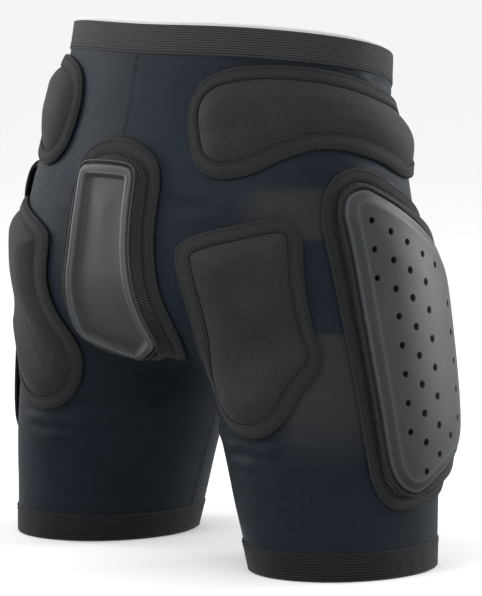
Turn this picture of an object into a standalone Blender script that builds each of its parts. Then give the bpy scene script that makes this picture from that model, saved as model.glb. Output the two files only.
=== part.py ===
"""Padded impact shorts: stretch fabric shorts with sewn-on hip, seat, thigh and tailbone pads.

All sizes are metres and +Z is up. The wearer faces -Y, so the wearer's left is +X. The hems stand
on z = 0. The fabric is laid over one smooth body form, and every pad is laid over the fabric.
"""
import math

import bmesh
import bpy
import numpy as np
from mathutils import Matrix

NAME = "padded_impact_shorts"

# ---- body form: (height, value) knots ----------------------------------------------------------
TRUNK_HALF_WIDTH = ((0.16, 0.150), (0.22, 0.163), (0.28, 0.172), (0.34, 0.170), (0.40, 0.160),
                    (0.46, 0.158), (0.52, 0.158))
TRUNK_HALF_DEPTH = ((0.16, 0.118), (0.22, 0.122), (0.28, 0.123), (0.34, 0.119), (0.40, 0.116),
                    (0.46, 0.109), (0.52, 0.108))
TRUNK_SHIFT = ((0.16, 0.018), (0.22, 0.017), (0.28, 0.014), (0.34, 0.010), (0.40, 0.000),
               (0.46, -0.008), (0.52, -0.012))
LEG_HALF_WIDTH = ((0.0, 0.072), (0.10, 0.087), (0.20, 0.095), (0.32, 0.090), (0.42, 0.070),
                  (0.52, 0.060))
LEG_HALF_DEPTH = ((0.0, 0.088), (0.10, 0.096), (0.20, 0.100), (0.32, 0.095), (0.42, 0.080),
                  (0.52, 0.060))
LEG_CENTRE = ((0.0, 0.141), (0.10, 0.126), (0.20, 0.106), (0.32, 0.086), (0.42, 0.076),
              (0.52, 0.072))
TRUNK_FLOOR, TRUNK_ROUND, LEG_FILLET = 0.252, 0.086, 0.026
SEAT_CENTRE, SEAT_RADII, SEAT_FILLET = (0.070, 0.042, 0.262), (0.086, 0.090, 0.098), 0.03

# ---- fabric and bands --------------------------------------------------------------------------
FABRIC = 0.0020            # wall of the stretch fabric
SEAM = 0.0005              # half of the space left between two sewn panels
PAD_GAP = 0.0016           # space between the fabric and what is sewn over it
WAIST_MEAN, WAIST_RISE, WAIST_DIP = 0.436, 0.029, -0.0085   # rim height round the waist
WAIST_TALL, LINING_PROUD = 0.0245, 0.003
CUFF_TALL = 0.024
CROTCH_DROP = 0.132        # height of the inside end of the leg line
LEG_LINE_RISE = 0.165      # how far the leg line climbs from the inside to the outer hip
GUSSET_TURN = 112.0        # angle round the leg where the gusset starts
UNDER_HUB = (0.012, 0.262) # (y, z) that the gusset is drawn round
SIDE_TURN = 96.0           # angle round the trunk of the side seams

# ---- pads: outlines as (degrees round the form, millimetres up) ---------------------------------
BINDING = 0.012            # width of the tape round every pad
HIP_PAD = ((31, 363), (30, 387), (34, 408), (43, 420), (57, 425), (72, 423), (84, 416), (98, 403),
           (112, 391), (122, 377), (127, 361), (127, 344), (120, 332), (109, 327), (99, 332),
           (90, 344), (80, 354), (70, 356), (60, 347), (50, 335), (41, 332), (34, 342))
HIP_SPINE = ((46, 372), (60, 387), (76, 389), (92, 374), (106, 361), (115, 354))
GLUTE_PAD = ((98, 262), (97, 275), (89, 286), (72, 296), (58, 301), (50, 295), (48, 280),
             (49, 250), (48, 215), (45, 189), (49, 173), (58, 156), (66, 137), (77, 122),
             (88, 117), (100, 121), (108, 134), (111, 154), (110, 174), (106, 190), (101, 208),
             (98, 232))
GLUTE_SPINE = ((74, 266), (78, 215), (86, 162))
THIGH_PAD = ((38, 300), (34, 325), (25, 338), (14, 340), (0, 330), (-14, 318), (-30, 305),
             (-44, 289), (-53, 265), (-55, 225), (-55, 180), (-54, 130), (-51, 95), (-42, 73),
             (-27, 62), (-10, 58), (6, 57), (18, 62), (26, 79), (29, 110), (31, 165), (33, 213),
             (36, 262))
THIGH_PLATE = ((30, 303), (27, 317), (20, 322), (8, 312), (-6, 297), (-18, 283), (-30, 268),
               (-41, 251), (-46, 232), (-46, 190), (-46, 150), (-44, 122), (-36, 102), (-24, 93),
               (-11, 84), (0, 75), (9, 74), (17, 84), (21, 103), (23, 148), (24.5, 190),
               (26, 235), (29, 285))
THIGH_SPINE = ((3, 270), (-10, 220), (-12, 160), (-8, 120))
VENTS = ((18.5, 250, 3), (9.5, 123, 8), (0.5, 90, 9), (-9.5, 102, 8), (-20.0, 115, 1),
         (-20.0, 255, 1), (-30.0, 127, 5))      # (degrees, lowest hole, number of holes)
VENT_PITCH, VENT_RADIUS = 23.4, 0.0023
TAIL_PAD = ((0, -41.5), (28, -39.5), (44, -35), (50, -27), (51, -16), (53, -2.5), (57, 10),
            (61, 22), (60, 34), (52, 43), (38, 48), (18, 51), (0, 52))     # (mm across, drop)
TAIL_PLATE = ((0, -32.5), (22, -32), (30, -28.5), (32, -20), (33, -11), (35, -0.5), (39, 10.5),
              (43, 21.5), (43, 28), (36, 34), (16, 40), (0, 42))
TAIL_SPINE = ((0, -25), (0, 26))

CORE = bpy.data.collections.new(NAME)
CUTTERS = bpy.data.collections.new(NAME + "_cutters")


# ---- the body form -----------------------------------------------------------------------------
def profile(height, knots):
    """Smooth value at each height through (height, value) knots."""
    table = np.array(knots)
    at, value = table[:, 0], table[:, 1]
    slope = np.gradient(value, at)
    i = np.clip(np.searchsorted(at, height) - 1, 0, len(at) - 2)
    step = at[i + 1] - at[i]
    t = np.clip((height - at[i]) / step, 0.0, 1.0)
    return ((2 * t**3 - 3 * t**2 + 1) * value[i] + (t**3 - 2 * t**2 + t) * step * slope[i]
            + (3 * t**2 - 2 * t**3) * value[i + 1] + (t**3 - t**2) * step * slope[i + 1])


def union(a, b, fillet):
    """Smooth union of two distance-like fields."""
    h = np.clip(0.5 + 0.5 * (b - a) / fillet, 0.0, 1.0)
    return b * (1 - h) + a * h - fillet * h * (1 - h)


def form(p):
    """Field of the body form at points (..., 3): negative inside, zero on the fabric's outside."""
    x, y, z = np.abs(p[..., 0]), p[..., 1], p[..., 2]
    wide, deep = profile(z, TRUNK_HALF_WIDTH), profile(z, TRUNK_HALF_DEPTH)
    below = np.maximum(0.0, TRUNK_FLOOR - z) / TRUNK_ROUND
    trunk = (np.sqrt((x / wide)**2 + ((y - profile(z, TRUNK_SHIFT)) / deep)**2 + below**2) - 1) * deep
    thick, long = profile(z, LEG_HALF_WIDTH), profile(z, LEG_HALF_DEPTH)
    leg = (np.sqrt(((x - profile(z, LEG_CENTRE)) / thick)**2 + (y / long)**2) - 1) * thick
    leg = leg + np.maximum(0.0, z - 0.34) * 0.5
    off = (np.stack([x, y, z], -1) - SEAT_CENTRE) / SEAT_RADII
    seat = (np.sqrt((off**2).sum(-1)) - 1) * SEAT_RADII[0]
    return union(union(trunk, leg, LEG_FILLET), seat, SEAT_FILLET)


def normal(p):
    """Outward unit normal of the body form at points (..., 3)."""
    grad = np.stack([form(p + d) - form(p - d) for d in np.eye(3) * 0.0015], -1)
    return grad / np.linalg.norm(grad, axis=-1, keepdims=True)


def cast(origin, direction):
    """First crossing of the body form along each ray, found by marching and then bisection."""
    origin, direction = np.broadcast_arrays(origin, direction)
    near = np.zeros(origin.shape[:-1])
    far = np.full(origin.shape[:-1], 0.30)
    found = np.zeros(origin.shape[:-1], bool)
    last = near.copy()
    for reach in np.linspace(0.004, 0.30, 76):
        crossed = (form(origin + direction * reach) > 0) & ~found
        near, far = np.where(crossed, last, near), np.where(crossed, reach, far)
        found, last = found | crossed, np.full_like(last, reach)
    for _ in range(24):
        mid = (near + far) / 2
        inside = form(origin + direction * mid[..., None]) < 0
        near, far = np.where(inside, mid, near), np.where(inside, far, mid)
    return origin + direction * ((near + far) / 2)[..., None]


def leg_point(turn, height):
    """Point on the left leg's form; turn is degrees from the outside (+X) towards the back."""
    turn, height = np.broadcast_arrays(np.radians(turn), height)
    zero = np.zeros_like(height)
    return cast(np.stack([profile(height, LEG_CENTRE), zero, height], -1),
                np.stack([np.cos(turn), np.sin(turn), zero], -1))


def trunk_point(turn, height):
    """Point on the trunk's form; turn is degrees from the centre back towards the left side."""
    turn, height = np.broadcast_arrays(np.radians(turn), height)
    zero = np.zeros_like(height)
    return cast(np.stack([zero, zero, height], -1), np.stack([np.sin(turn), np.cos(turn), zero], -1))


def under_point(across, drop):
    """Point under the crotch; drop is degrees from straight back down and round to the front."""
    across, drop = np.broadcast_arrays(across, np.radians(drop))
    zero = np.zeros_like(across)
    return cast(np.stack([across, zero + UNDER_HUB[0], zero + UNDER_HUB[1]], -1),
                np.stack([zero, np.cos(drop), -np.sin(drop)], -1))


def lift(p, offset):
    """Move surface points along the form's normal."""
    return p + normal(p) * np.asarray(offset)[..., None]


# ---- turning grids of points into closed bodies -------------------------------------------------
def material(name, colour, roughness, metallic=0.0):
    """Plain Principled material."""
    mat = bpy.data.materials.new(name)
    mat.use_nodes = True
    shader = mat.node_tree.nodes["Principled BSDF"]
    shader.inputs["Base Color"].default_value = (*colour, 1.0)
    shader.inputs["Roughness"].default_value = roughness
    shader.inputs["Metallic"].default_value = metallic
    return mat


def body(name, points, faces, look, home=CORE):
    """Object from points and faces, with its faces turned outwards."""
    mesh = bpy.data.meshes.new(name)
    mesh.from_pydata([tuple(p) for p in points], [], faces)
    bm = bmesh.new()
    bm.from_mesh(mesh)
    bmesh.ops.recalc_face_normals(bm, faces=bm.faces)
    bm.to_mesh(mesh)
    bm.free()
    if look:
        mesh.materials.append(look)
    obj = bpy.data.objects.new(name, mesh)
    home.objects.link(obj)
    return obj


def quads(rows, cols, wrap_rows, wrap_cols):
    """Quad faces of a grid of points numbered row by row."""
    return [(r * cols + c, r * cols + (c + 1) % cols, (r + 1) % rows * cols + (c + 1) % cols,
             (r + 1) % rows * cols + c)
            for r in range(rows if wrap_rows else rows - 1)
            for c in range(cols if wrap_cols else cols - 1)]


def tube(name, rings, look):
    """Closed body from rings (k, n, 3) that meet end to end: a band, a sleeve or a tape."""
    return body(name, rings.reshape(-1, 3), quads(*rings.shape[:2], True, True), look)


def panel(name, outer, inner, look):
    """Closed body between two open grids (rows, cols, 3)."""
    rows, cols = outer.shape[:2]
    size = rows * cols
    sheet = quads(rows, cols, False, False)
    edge = ([c for c in range(cols)] + [r * cols + cols - 1 for r in range(1, rows)]
            + [(rows - 1) * cols + c for c in range(cols - 2, -1, -1)]
            + [r * cols for r in range(rows - 2, 0, -1)])
    wall = [(a, b, b + size, a + size) for a, b in zip(edge, edge[1:] + edge[:1])]
    back = [tuple(i + size for i in reversed(f)) for f in sheet]
    return body(name, np.concatenate([outer.reshape(-1, 3), inner.reshape(-1, 3)]),
                sheet + back + wall, look)


# ---- pad outlines ------------------------------------------------------------------------------
def outline(corners, count):
    """Smooth closed curve through the corners, as evenly spaced points (count, 2)."""
    p = np.array(corners, float)
    t = np.linspace(0, 1, 24, endpoint=False)[:, None]
    a, b, c, d = np.roll(p, 1, 0), p, np.roll(p, -1, 0), np.roll(p, -2, 0)
    fine = np.concatenate([0.5 * (2 * q + (r - o) * t + (2 * o - 5 * q + 4 * r - s) * t**2
                                  + (3 * q - o - 3 * r + s) * t**3)
                           for o, q, r, s in zip(a, b, c, d)])
    closed = np.vstack([fine, fine[:1]])
    along = np.concatenate([[0], np.cumsum(np.linalg.norm(np.diff(closed, axis=0), axis=1))])
    even = np.linspace(0, along[-1], count, endpoint=False)
    return np.stack([np.interp(even, along, closed[:, i]) for i in (0, 1)], -1)


def inset(curve, depth):
    """Move a closed curve inwards by a depth."""
    tangent = np.roll(curve, -1, 0) - np.roll(curve, 1, 0)
    tangent /= np.linalg.norm(tangent, axis=1, keepdims=True)
    inward = np.stack([-tangent[:, 1], tangent[:, 0]], -1)
    x, y = curve.T
    turning = np.sign((x * np.roll(y, -1) - y * np.roll(x, -1)).sum())
    return curve + inward * depth * turning


def feet(curve, spine):
    """Nearest spine point of every curve point, evened out between the two sides of the spine."""
    start, run = spine[:-1], np.diff(spine, axis=0)
    t = np.clip(((curve[:, None] - start) * run).sum(-1) / (run**2).sum(-1), 0.0, 1.0)
    foot = start + run * t[..., None]
    best = np.linalg.norm(curve[:, None] - foot, axis=2).argmin(1)
    near = foot[np.arange(len(curve)), best]
    return (near + np.roll(near[::-1], 1, 0)) / 2


# ---- lines shared by neighbouring pieces ---------------------------------------------------------
def leg_line(turn):
    """Height of the leg line at an angle round the leg: low inside, high at the outer hip."""
    return CROTCH_DROP + LEG_LINE_RISE * ((1 + np.cos(np.radians(turn))) / 2)**1.15


def leg_line_points():
    """The leg line as angles (n,) and points (n, 3), from the outside round by the back."""
    turn = np.linspace(-180.0, 180.0, 361)
    return turn, leg_point(turn, leg_line(turn))


def drop_of(p):
    """Angle round the gusset hub of points (..., 3), 0 at the back and 180 at the front."""
    return np.degrees(np.arctan2(UNDER_HUB[1] - p[..., 2], p[..., 1] - UNDER_HUB[0]))


def turn_of(p):
    """Angle round the trunk of points (..., 3), 0 at the back and 180 at the front."""
    return np.degrees(np.arctan2(p[..., 0], p[..., 1]))


def rim(turn):
    """Height of the waist rim at an angle round the trunk."""
    a = np.radians(turn)
    return WAIST_MEAN + WAIST_RISE * np.cos(a) + WAIST_DIP * np.cos(2 * a)


def mirrored(points, side):
    """Points of the left half, or their mirror image for side -1."""
    return points * (side, 1.0, 1.0)


# ---- fabric ------------------------------------------------------------------------------------
def sheet_pair(grid):
    """Outer and inner faces of the fabric over a grid of form points."""
    return grid, lift(grid, np.full(grid.shape[:-1], -FABRIC))


def trunk_hem():
    """Lower edge of the trunk panels as angles round the trunk and heights."""
    turn, line = leg_line_points()
    outer = line[np.abs(turn) <= GUSSET_TURN]
    outer = outer[np.argsort(turn_of(outer))]
    ends = [under_point(np.linspace(0, end[0], 12), np.full(12, drop_of(end)))
            for end in (outer[0], outer[-1])]
    hem = np.concatenate([ends[0][:-1], outer, ends[1][-2::-1]])
    return turn_of(hem), hem[:, 2]


def trunk_panels(side, name, look):
    """Back and front panels of one side, from the waistband down to the leg line and gusset."""
    hem_turn, hem_height = trunk_hem()
    for part, start, end, count in (("back", 0.0, SIDE_TURN, 14), ("front", SIDE_TURN, 180.0, 13)):
        turn = np.linspace(start + 0.22, end - 0.22, count)
        corner = hem_turn[11 if part == "back" else -12]
        turn[np.abs(turn - corner).argmin()] = corner
        low = np.interp(turn, hem_turn, hem_height) + SEAM * 2.4
        high = rim(turn) - WAIST_TALL - SEAM * 2
        share = np.linspace(0, 1, 11)[:, None]
        grid = trunk_point(np.broadcast_to(turn, (11, count)), high + (low - high) * share)
        outside, inside = sheet_pair(grid)
        panel(f"{part}_panel_{name}", mirrored(outside, side), mirrored(inside, side), look)


def gusset(look):
    """Strip under the crotch between the two leg lines."""
    turn, line = leg_line_points()
    turn = np.concatenate([turn[turn >= GUSSET_TURN], turn[turn < -GUSSET_TURN] + 360])
    points = leg_point(turn, leg_line(turn))
    drop, reach = drop_of(points), points[:, 0]
    order = np.argsort(drop)
    rows = np.linspace(drop[order][0] + 0.6, drop[order][-1] - 0.6, 13)
    wide = np.interp(rows, drop[order], reach[order]) - SEAM * 2
    grid = under_point(wide[:, None] * np.linspace(-1, 1, 7), np.broadcast_to(rows[:, None], (13, 7)))
    outside, inside = sheet_pair(grid)
    panel("crotch_gusset", outside, inside, look)


def leg_sleeve(side, name, look):
    """Leg section from the cuff up to the leg line, closed at the inseam."""
    turn = np.linspace(0, 360, 32, endpoint=False)
    low, high = CUFF_TALL + SEAM * 1.6, leg_line(turn) - SEAM * 2
    share = np.linspace(0, 1, 10)[:, None]
    grid = leg_point(np.broadcast_to(turn, (10, 32)), low + (high - low) * share)
    outside, inside = sheet_pair(grid)
    tube(f"leg_sleeve_{name}", mirrored(np.concatenate([outside, inside[::-1]]), side), look)


def band(name, low, high, outer, inner, side, look, point, count, rows=2):
    """Closed band on the form between two heights, its rims level with those heights."""
    turn = np.linspace(0, 360, count, endpoint=False)
    height = low(turn) + (high(turn) - low(turn)) * np.linspace(0, 1, rows)[:, None]
    grid = point(np.broadcast_to(turn, (rows, count)), height)
    flat = normal(grid) * (1, 1, 0)
    flat /= np.linalg.norm(flat, axis=-1, keepdims=True)
    rings = np.concatenate([grid + flat * outer, (grid + flat * inner)[::-1]])
    return tube(name, mirrored(rings, side), look)


# ---- pads --------------------------------------------------------------------------------------
class Patch:
    """One pad's flat drawing and where it lies on the form."""

    def __init__(self, point, scale, corners, spine, count, side=1):
        """Keep the chart, its metres per unit, the outline's corners and the spine."""
        self.point, self.scale, self.side = point, np.array(scale), side
        self.spine = np.array(spine) * self.scale
        curve = outline(np.array(corners) * self.scale, count)
        tip = self.spine[0] * 2 - self.spine[1]
        start = np.linalg.norm(curve - tip, axis=1).argmin()
        self.curve = np.roll(curve, -start, 0)
        self.feet = feet(self.curve, self.spine)

    def put(self, curve, offset):
        """Points of a drawn curve at an offset above the form."""
        at = curve / self.scale
        height = at[:, 1] if self.point is under_point else at[:, 1] / 1000
        across = at[:, 0] / 1000 if self.point is under_point else at[:, 0]
        return mirrored(lift(self.point(across, height), np.full(len(curve), offset)), self.side)

    def ring(self, depth, share, offset):
        """Ring inset by a depth, drawn towards the spine by a share, at an offset."""
        edge = inset(self.curve, depth)
        return self.put(edge + (self.feet - edge) * share, offset)


LEG_SCALE = (math.radians(1) * 0.100, 0.001)
TRUNK_SCALE = (math.radians(1) * 0.150, 0.001)
TAIL_SCALE = (0.001, math.radians(1) * 0.125)


def zipped(name, rings, look):
    """Closed body from rings whose first and last are narrow and are zipped shut end to end."""
    k, n = rings.shape[:2]
    faces = quads(k, n, False, True)
    for base in (0, (k - 1) * n):
        for i in range(n // 2):
            face = [base + i, base + i + 1, base + n - i - 1, base + (n - i) % n]
            faces.append(tuple(dict.fromkeys(face)))
    return body(name, rings.reshape(-1, 3), faces, look)


def tape(patch, name, low, high, look):
    """Flat ribbed tape sewn round a pad's edge."""
    rings = [patch.ring(0.0, 0, low), patch.ring(0.0004, 0, (low + high) / 2 + 0.0004),
             patch.ring(0.0024, 0, high), patch.ring(BINDING - 0.0008, 0, high),
             patch.ring(BINDING, 0, low)]
    return tube(name, np.array(rings), look)


def pad(patch, name, depth, low, profile_, look):
    """Cushion or plate: a level underside and a top that follows (share, height) pairs."""
    rings = [patch.ring(depth, share, low) for share in (0.9, 0.6, 0.3)]
    rings += [patch.ring(depth, 0, low)]
    rings += [patch.ring(depth, share, height) for share, height in profile_]
    return zipped(name, np.array(rings), look)


def vents(patch, low, high):
    """One cutter body with a short prism through the plate at every vent."""
    points, faces = [], []
    for turn, first, count in VENTS:
        for i in range(count):
            at = leg_point(np.array([turn]), np.array([(first + VENT_PITCH * i) / 1000]))
            axis = normal(at)[0]
            across = np.cross(axis, (0, 0, 1.0))
            across /= np.linalg.norm(across)
            up = np.cross(axis, across)
            base = len(points)
            for level in (low, high):
                for a in np.linspace(0, 2 * math.pi, 8, endpoint=False):
                    points.append(at[0] + axis * level + (across * math.cos(a) + up * math.sin(a))
                                  * VENT_RADIUS)
            faces += [tuple(base + q for q in f) for f in quads(2, 8, False, True)]
            faces += [tuple(range(base, base + 8)), tuple(range(base + 15, base + 7, -1))]
    return body(f"vents_{'left' if patch.side > 0 else 'right'}",
                mirrored(np.array(points), patch.side), faces, None, CUTTERS)


def hip_pad(side, name, looks):
    """Padded wrap over the top of the hip."""
    patch = Patch(trunk_point, TRUNK_SCALE, HIP_PAD, HIP_SPINE, 40, side)
    tape(patch, f"hip_tape_{name}", PAD_GAP, 0.0046, looks["tape"])
    pad(patch, f"hip_cushion_{name}", BINDING + 0.0007, PAD_GAP,
        ((0, 0.0052), (0.10, 0.0092), (0.28, 0.0122), (0.60, 0.0139), (0.9, 0.0142)), looks["mesh"])


def glute_pad(side, name, looks):
    """Cushion over the seat bone, carried by the leg section."""
    patch = Patch(leg_point, LEG_SCALE, GLUTE_PAD, GLUTE_SPINE, 36, side)
    tape(patch, f"glute_tape_{name}", PAD_GAP, 0.0046, looks["tape"])
    pad(patch, f"glute_cushion_{name}", BINDING + 0.0007, PAD_GAP,
        ((0, 0.0052), (0.10, 0.0095), (0.28, 0.0125), (0.60, 0.0143), (0.9, 0.0147)), looks["mesh"])


def thigh_pad(side, name, looks):
    """Foam, tape and vented hard plate down the outside of the thigh."""
    patch = Patch(leg_point, LEG_SCALE, THIGH_PAD, THIGH_SPINE, 42, side)
    tape(patch, f"thigh_tape_{name}", PAD_GAP, 0.0048, looks["tape"])
    pad(patch, f"thigh_foam_{name}", BINDING + 0.0007, PAD_GAP + 0.0006,
        ((0, 0.0054), (0.08, 0.0100), (0.20, 0.0134), (0.50, 0.0144), (0.9, 0.0144)), looks["foam"])
    plate = Patch(leg_point, LEG_SCALE, THIGH_PLATE, THIGH_SPINE, 42, side)
    shell = pad(plate, f"thigh_plate_{name}", 0.0, 0.0158,
                ((0, 0.0172), (0.05, 0.0196), (0.12, 0.0206), (0.45, 0.0214), (0.9, 0.0216)),
                looks["plate"])
    cut = shell.modifiers.new("vents", "BOOLEAN")
    cut.object = vents(plate, 0.010, 0.030)
    cut.operation, cut.solver = "DIFFERENCE", "EXACT"


def tail_pad(looks):
    """Tape, foam and dished hard plate over the tailbone."""
    whole = TAIL_PAD + tuple((-x, d) for x, d in TAIL_PAD[-2:0:-1])
    patch = Patch(under_point, TAIL_SCALE, whole, TAIL_SPINE, 36)
    tape(patch, "tailbone_tape", PAD_GAP, 0.0046, looks["tape"])
    pad(patch, "tailbone_foam", BINDING + 0.0007, PAD_GAP,
        ((0, 0.0050), (0.12, 0.0082), (0.30, 0.0098), (0.55, 0.0100), (0.9, 0.0100)), looks["foam"])
    whole = TAIL_PLATE + tuple((-x, d) for x, d in TAIL_PLATE[-2:0:-1])
    plate = Patch(under_point, TAIL_SCALE, whole, TAIL_SPINE, 36)
    pad(plate, "tailbone_plate", 0.0, 0.0114,
        ((0, 0.0136), (0.05, 0.0172), (0.16, 0.0180), (0.24, 0.0176), (0.36, 0.0150),
         (0.60, 0.0144), (0.9, 0.0143)), looks["dish"])


# ---- the whole assembly --------------------------------------------------------------------------
def hinge_frame(side):
    """Point and direction of the groin line that a leg section folds about."""
    turn = np.array([-90.0])
    at = leg_point(turn, leg_line(turn))[0] + np.array((0.0, -0.006, 0.0))
    ends = leg_point(np.array([-115.0, -65.0]), leg_line(np.array([-115.0, -65.0])))
    run = (ends[1] - ends[0]) * (1, 0, 1)
    return at * (side, 1, 1), run / np.linalg.norm(run) * (side, 1, 1)


def centre_depth():
    """Slide everything along Y until the origin is midway between the front and the back."""
    depth = [v.co.y + (obj.parent.location.y if obj.parent else 0.0)
             for obj in CORE.objects if obj.type == "MESH" for v in obj.data.vertices]
    middle = (min(depth) + max(depth)) / 2
    for obj in (*CORE.objects, *CUTTERS.objects):
        if obj.parent is None:
            if obj.type == "MESH":
                obj.data.transform(Matrix.Translation((0.0, -middle, 0.0)))
            else:
                obj.location.y -= middle


def build():
    """Lay out every piece, then hang the leg pieces from their hinge points."""
    for collection in (CORE, CUTTERS):
        bpy.context.scene.collection.children.link(collection)
    looks = {"cloth": material("stretch_fabric", (0.020, 0.026, 0.042), 0.55),
             "elastic": material("waist_elastic", (0.040, 0.041, 0.044), 0.75),
             "lining": material("pale_lining", (0.75, 0.76, 0.78), 0.80),
             "tape": material("binding_tape", (0.034, 0.034, 0.036), 0.80),
             "mesh": material("mesh_cover", (0.022, 0.022, 0.024), 0.70),
             "foam": material("foam_cover", (0.024, 0.024, 0.026), 0.75),
             "plate": material("thigh_plastic", (0.060, 0.064, 0.064), 0.42),
             "dish": material("tail_plastic", (0.080, 0.084, 0.088), 0.28)}
    full = lambda value: lambda turn: np.full_like(turn, value)
    band("waistband", lambda t: rim(t) - WAIST_TALL, rim, 0.0008, -0.0016, 1, looks["elastic"],
         trunk_point, 52)
    band("waistband_lining", lambda t: rim(t) - WAIST_TALL - 0.004, lambda t: rim(t) + LINING_PROUD,
         -0.0028, -0.0044, 1, looks["lining"], trunk_point, 52)
    gusset(looks["cloth"])
    tail_pad(looks)
    for side, name in ((1, "left"), (-1, "right")):
        trunk_panels(side, name, looks["cloth"])
        hip_pad(side, name, looks)
        before = set(CORE.objects)
        leg_sleeve(side, name, looks["cloth"])
        band(f"leg_cuff_{name}", full(0.0), full(CUFF_TALL), 0.0008, -0.0016, side,
             looks["elastic"], leg_point, 32)
        glute_pad(side, name, looks)
        thigh_pad(side, name, looks)
        at, _ = hinge_frame(side)
        pivot = bpy.data.objects.new(f"hip_fold_{name}", None)
        pivot.location = at
        CORE.objects.link(pivot)
        for obj in sorted(set(CORE.objects) - before - {pivot}, key=lambda o: o.name):
            obj.parent = pivot
            obj.matrix_parent_inverse.identity()
            obj.data.transform(pivot.matrix_basis.inverted())
    for obj in CUTTERS.objects:
        obj.hide_render, obj.display_type = True, "WIRE"
    centre_depth()


for leftover in list(bpy.data.objects):
    bpy.data.objects.remove(leftover)
build()
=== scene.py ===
"""Padded impact shorts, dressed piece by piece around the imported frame.

Lengths are metres. Shapes are first worked out on the body form, whose origin is a little ahead of
the frame's, and every mesh is slid back by SETBACK as it is made.
"""
from __future__ import annotations
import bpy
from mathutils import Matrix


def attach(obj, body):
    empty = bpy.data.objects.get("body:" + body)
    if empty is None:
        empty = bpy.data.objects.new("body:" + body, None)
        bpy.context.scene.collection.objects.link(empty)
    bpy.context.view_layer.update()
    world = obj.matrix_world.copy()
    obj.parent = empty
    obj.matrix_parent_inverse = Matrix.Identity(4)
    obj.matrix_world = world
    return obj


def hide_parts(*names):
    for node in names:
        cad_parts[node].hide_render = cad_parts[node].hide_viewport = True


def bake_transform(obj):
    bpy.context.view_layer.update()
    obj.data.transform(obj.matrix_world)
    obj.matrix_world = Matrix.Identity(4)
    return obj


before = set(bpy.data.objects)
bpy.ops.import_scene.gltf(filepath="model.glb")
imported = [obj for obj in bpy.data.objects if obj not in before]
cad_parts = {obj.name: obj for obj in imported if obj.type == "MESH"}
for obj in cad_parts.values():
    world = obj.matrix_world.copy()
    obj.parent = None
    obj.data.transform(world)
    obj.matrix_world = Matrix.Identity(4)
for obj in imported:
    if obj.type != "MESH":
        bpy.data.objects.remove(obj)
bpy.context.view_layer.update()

import logging
import math
from dataclasses import dataclass, field
from enum import Enum
from typing import Callable, Sequence

import bmesh
import bpy
import numpy as np
from mathutils import Matrix, Vector

LOG = logging.getLogger("impact_shorts")
SETBACK = 0.02026
Knots = tuple[tuple[float, float], ...]
Colour = tuple[float, float, float]


class Side(Enum):
    """The two mirror halves of the shorts."""

    LEFT = 1
    RIGHT = -1

    @property
    def word(self) -> str:
        """Name of the half as it ends every piece's name."""
        return self.name.lower()


class Body(Enum):
    """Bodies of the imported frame."""

    PELVIS = "pelvis"
    LEFT_LEG = "left_leg"
    RIGHT_LEG = "right_leg"


# ------------------------------------------------------------------------------------------------
# The body form
# ------------------------------------------------------------------------------------------------
def profile(height: np.ndarray, knots: Knots) -> np.ndarray:
    """Cubic curve through (height, value) knots.

    Args:
        height: Heights to read the curve at.
        knots: Heights and values that the curve passes through.

    Returns:
        One value per height.
    """
    table = np.array(knots)
    at, value = table[:, 0], table[:, 1]
    slope = np.gradient(value, at)
    i = np.clip(np.searchsorted(at, height) - 1, 0, len(at) - 2)
    step = at[i + 1] - at[i]
    t = np.clip((height - at[i]) / step, 0.0, 1.0)
    return ((2 * t**3 - 3 * t**2 + 1) * value[i] + (t**3 - 2 * t**2 + t) * step * slope[i]
            + (3 * t**2 - 2 * t**3) * value[i + 1] + (t**3 - t**2) * step * slope[i + 1])


def smooth(x: np.ndarray, low: float, high: float) -> np.ndarray:
    """Smooth step: 0 below low, 1 above high, with level ends."""
    t = np.clip((np.asarray(x, float) - low) / (high - low), 0.0, 1.0)
    return t * t * (3 - 2 * t)


def quarter_round(depth: np.ndarray, radius: float) -> np.ndarray:
    """Quarter circle: 0 at the edge, 1 from a radius inwards."""
    return np.sqrt(np.clip(1 - (1 - np.clip(depth / radius, 0, 1))**2, 0, 1))


def bell(x: np.ndarray, middle: float, wide: float) -> np.ndarray:
    """Bell curve: 1 at its middle, 1/e at a width away."""
    return np.exp(-((x - middle) / wide)**2)


def union(a: np.ndarray, b: np.ndarray, fillet: float) -> np.ndarray:
    """Smooth union of two distance-like fields, rounded by a fillet."""
    h = np.clip(0.5 + 0.5 * (b - a) / fillet, 0.0, 1.0)
    return b * (1 - h) + a * h - fillet * h * (1 - h)


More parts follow.
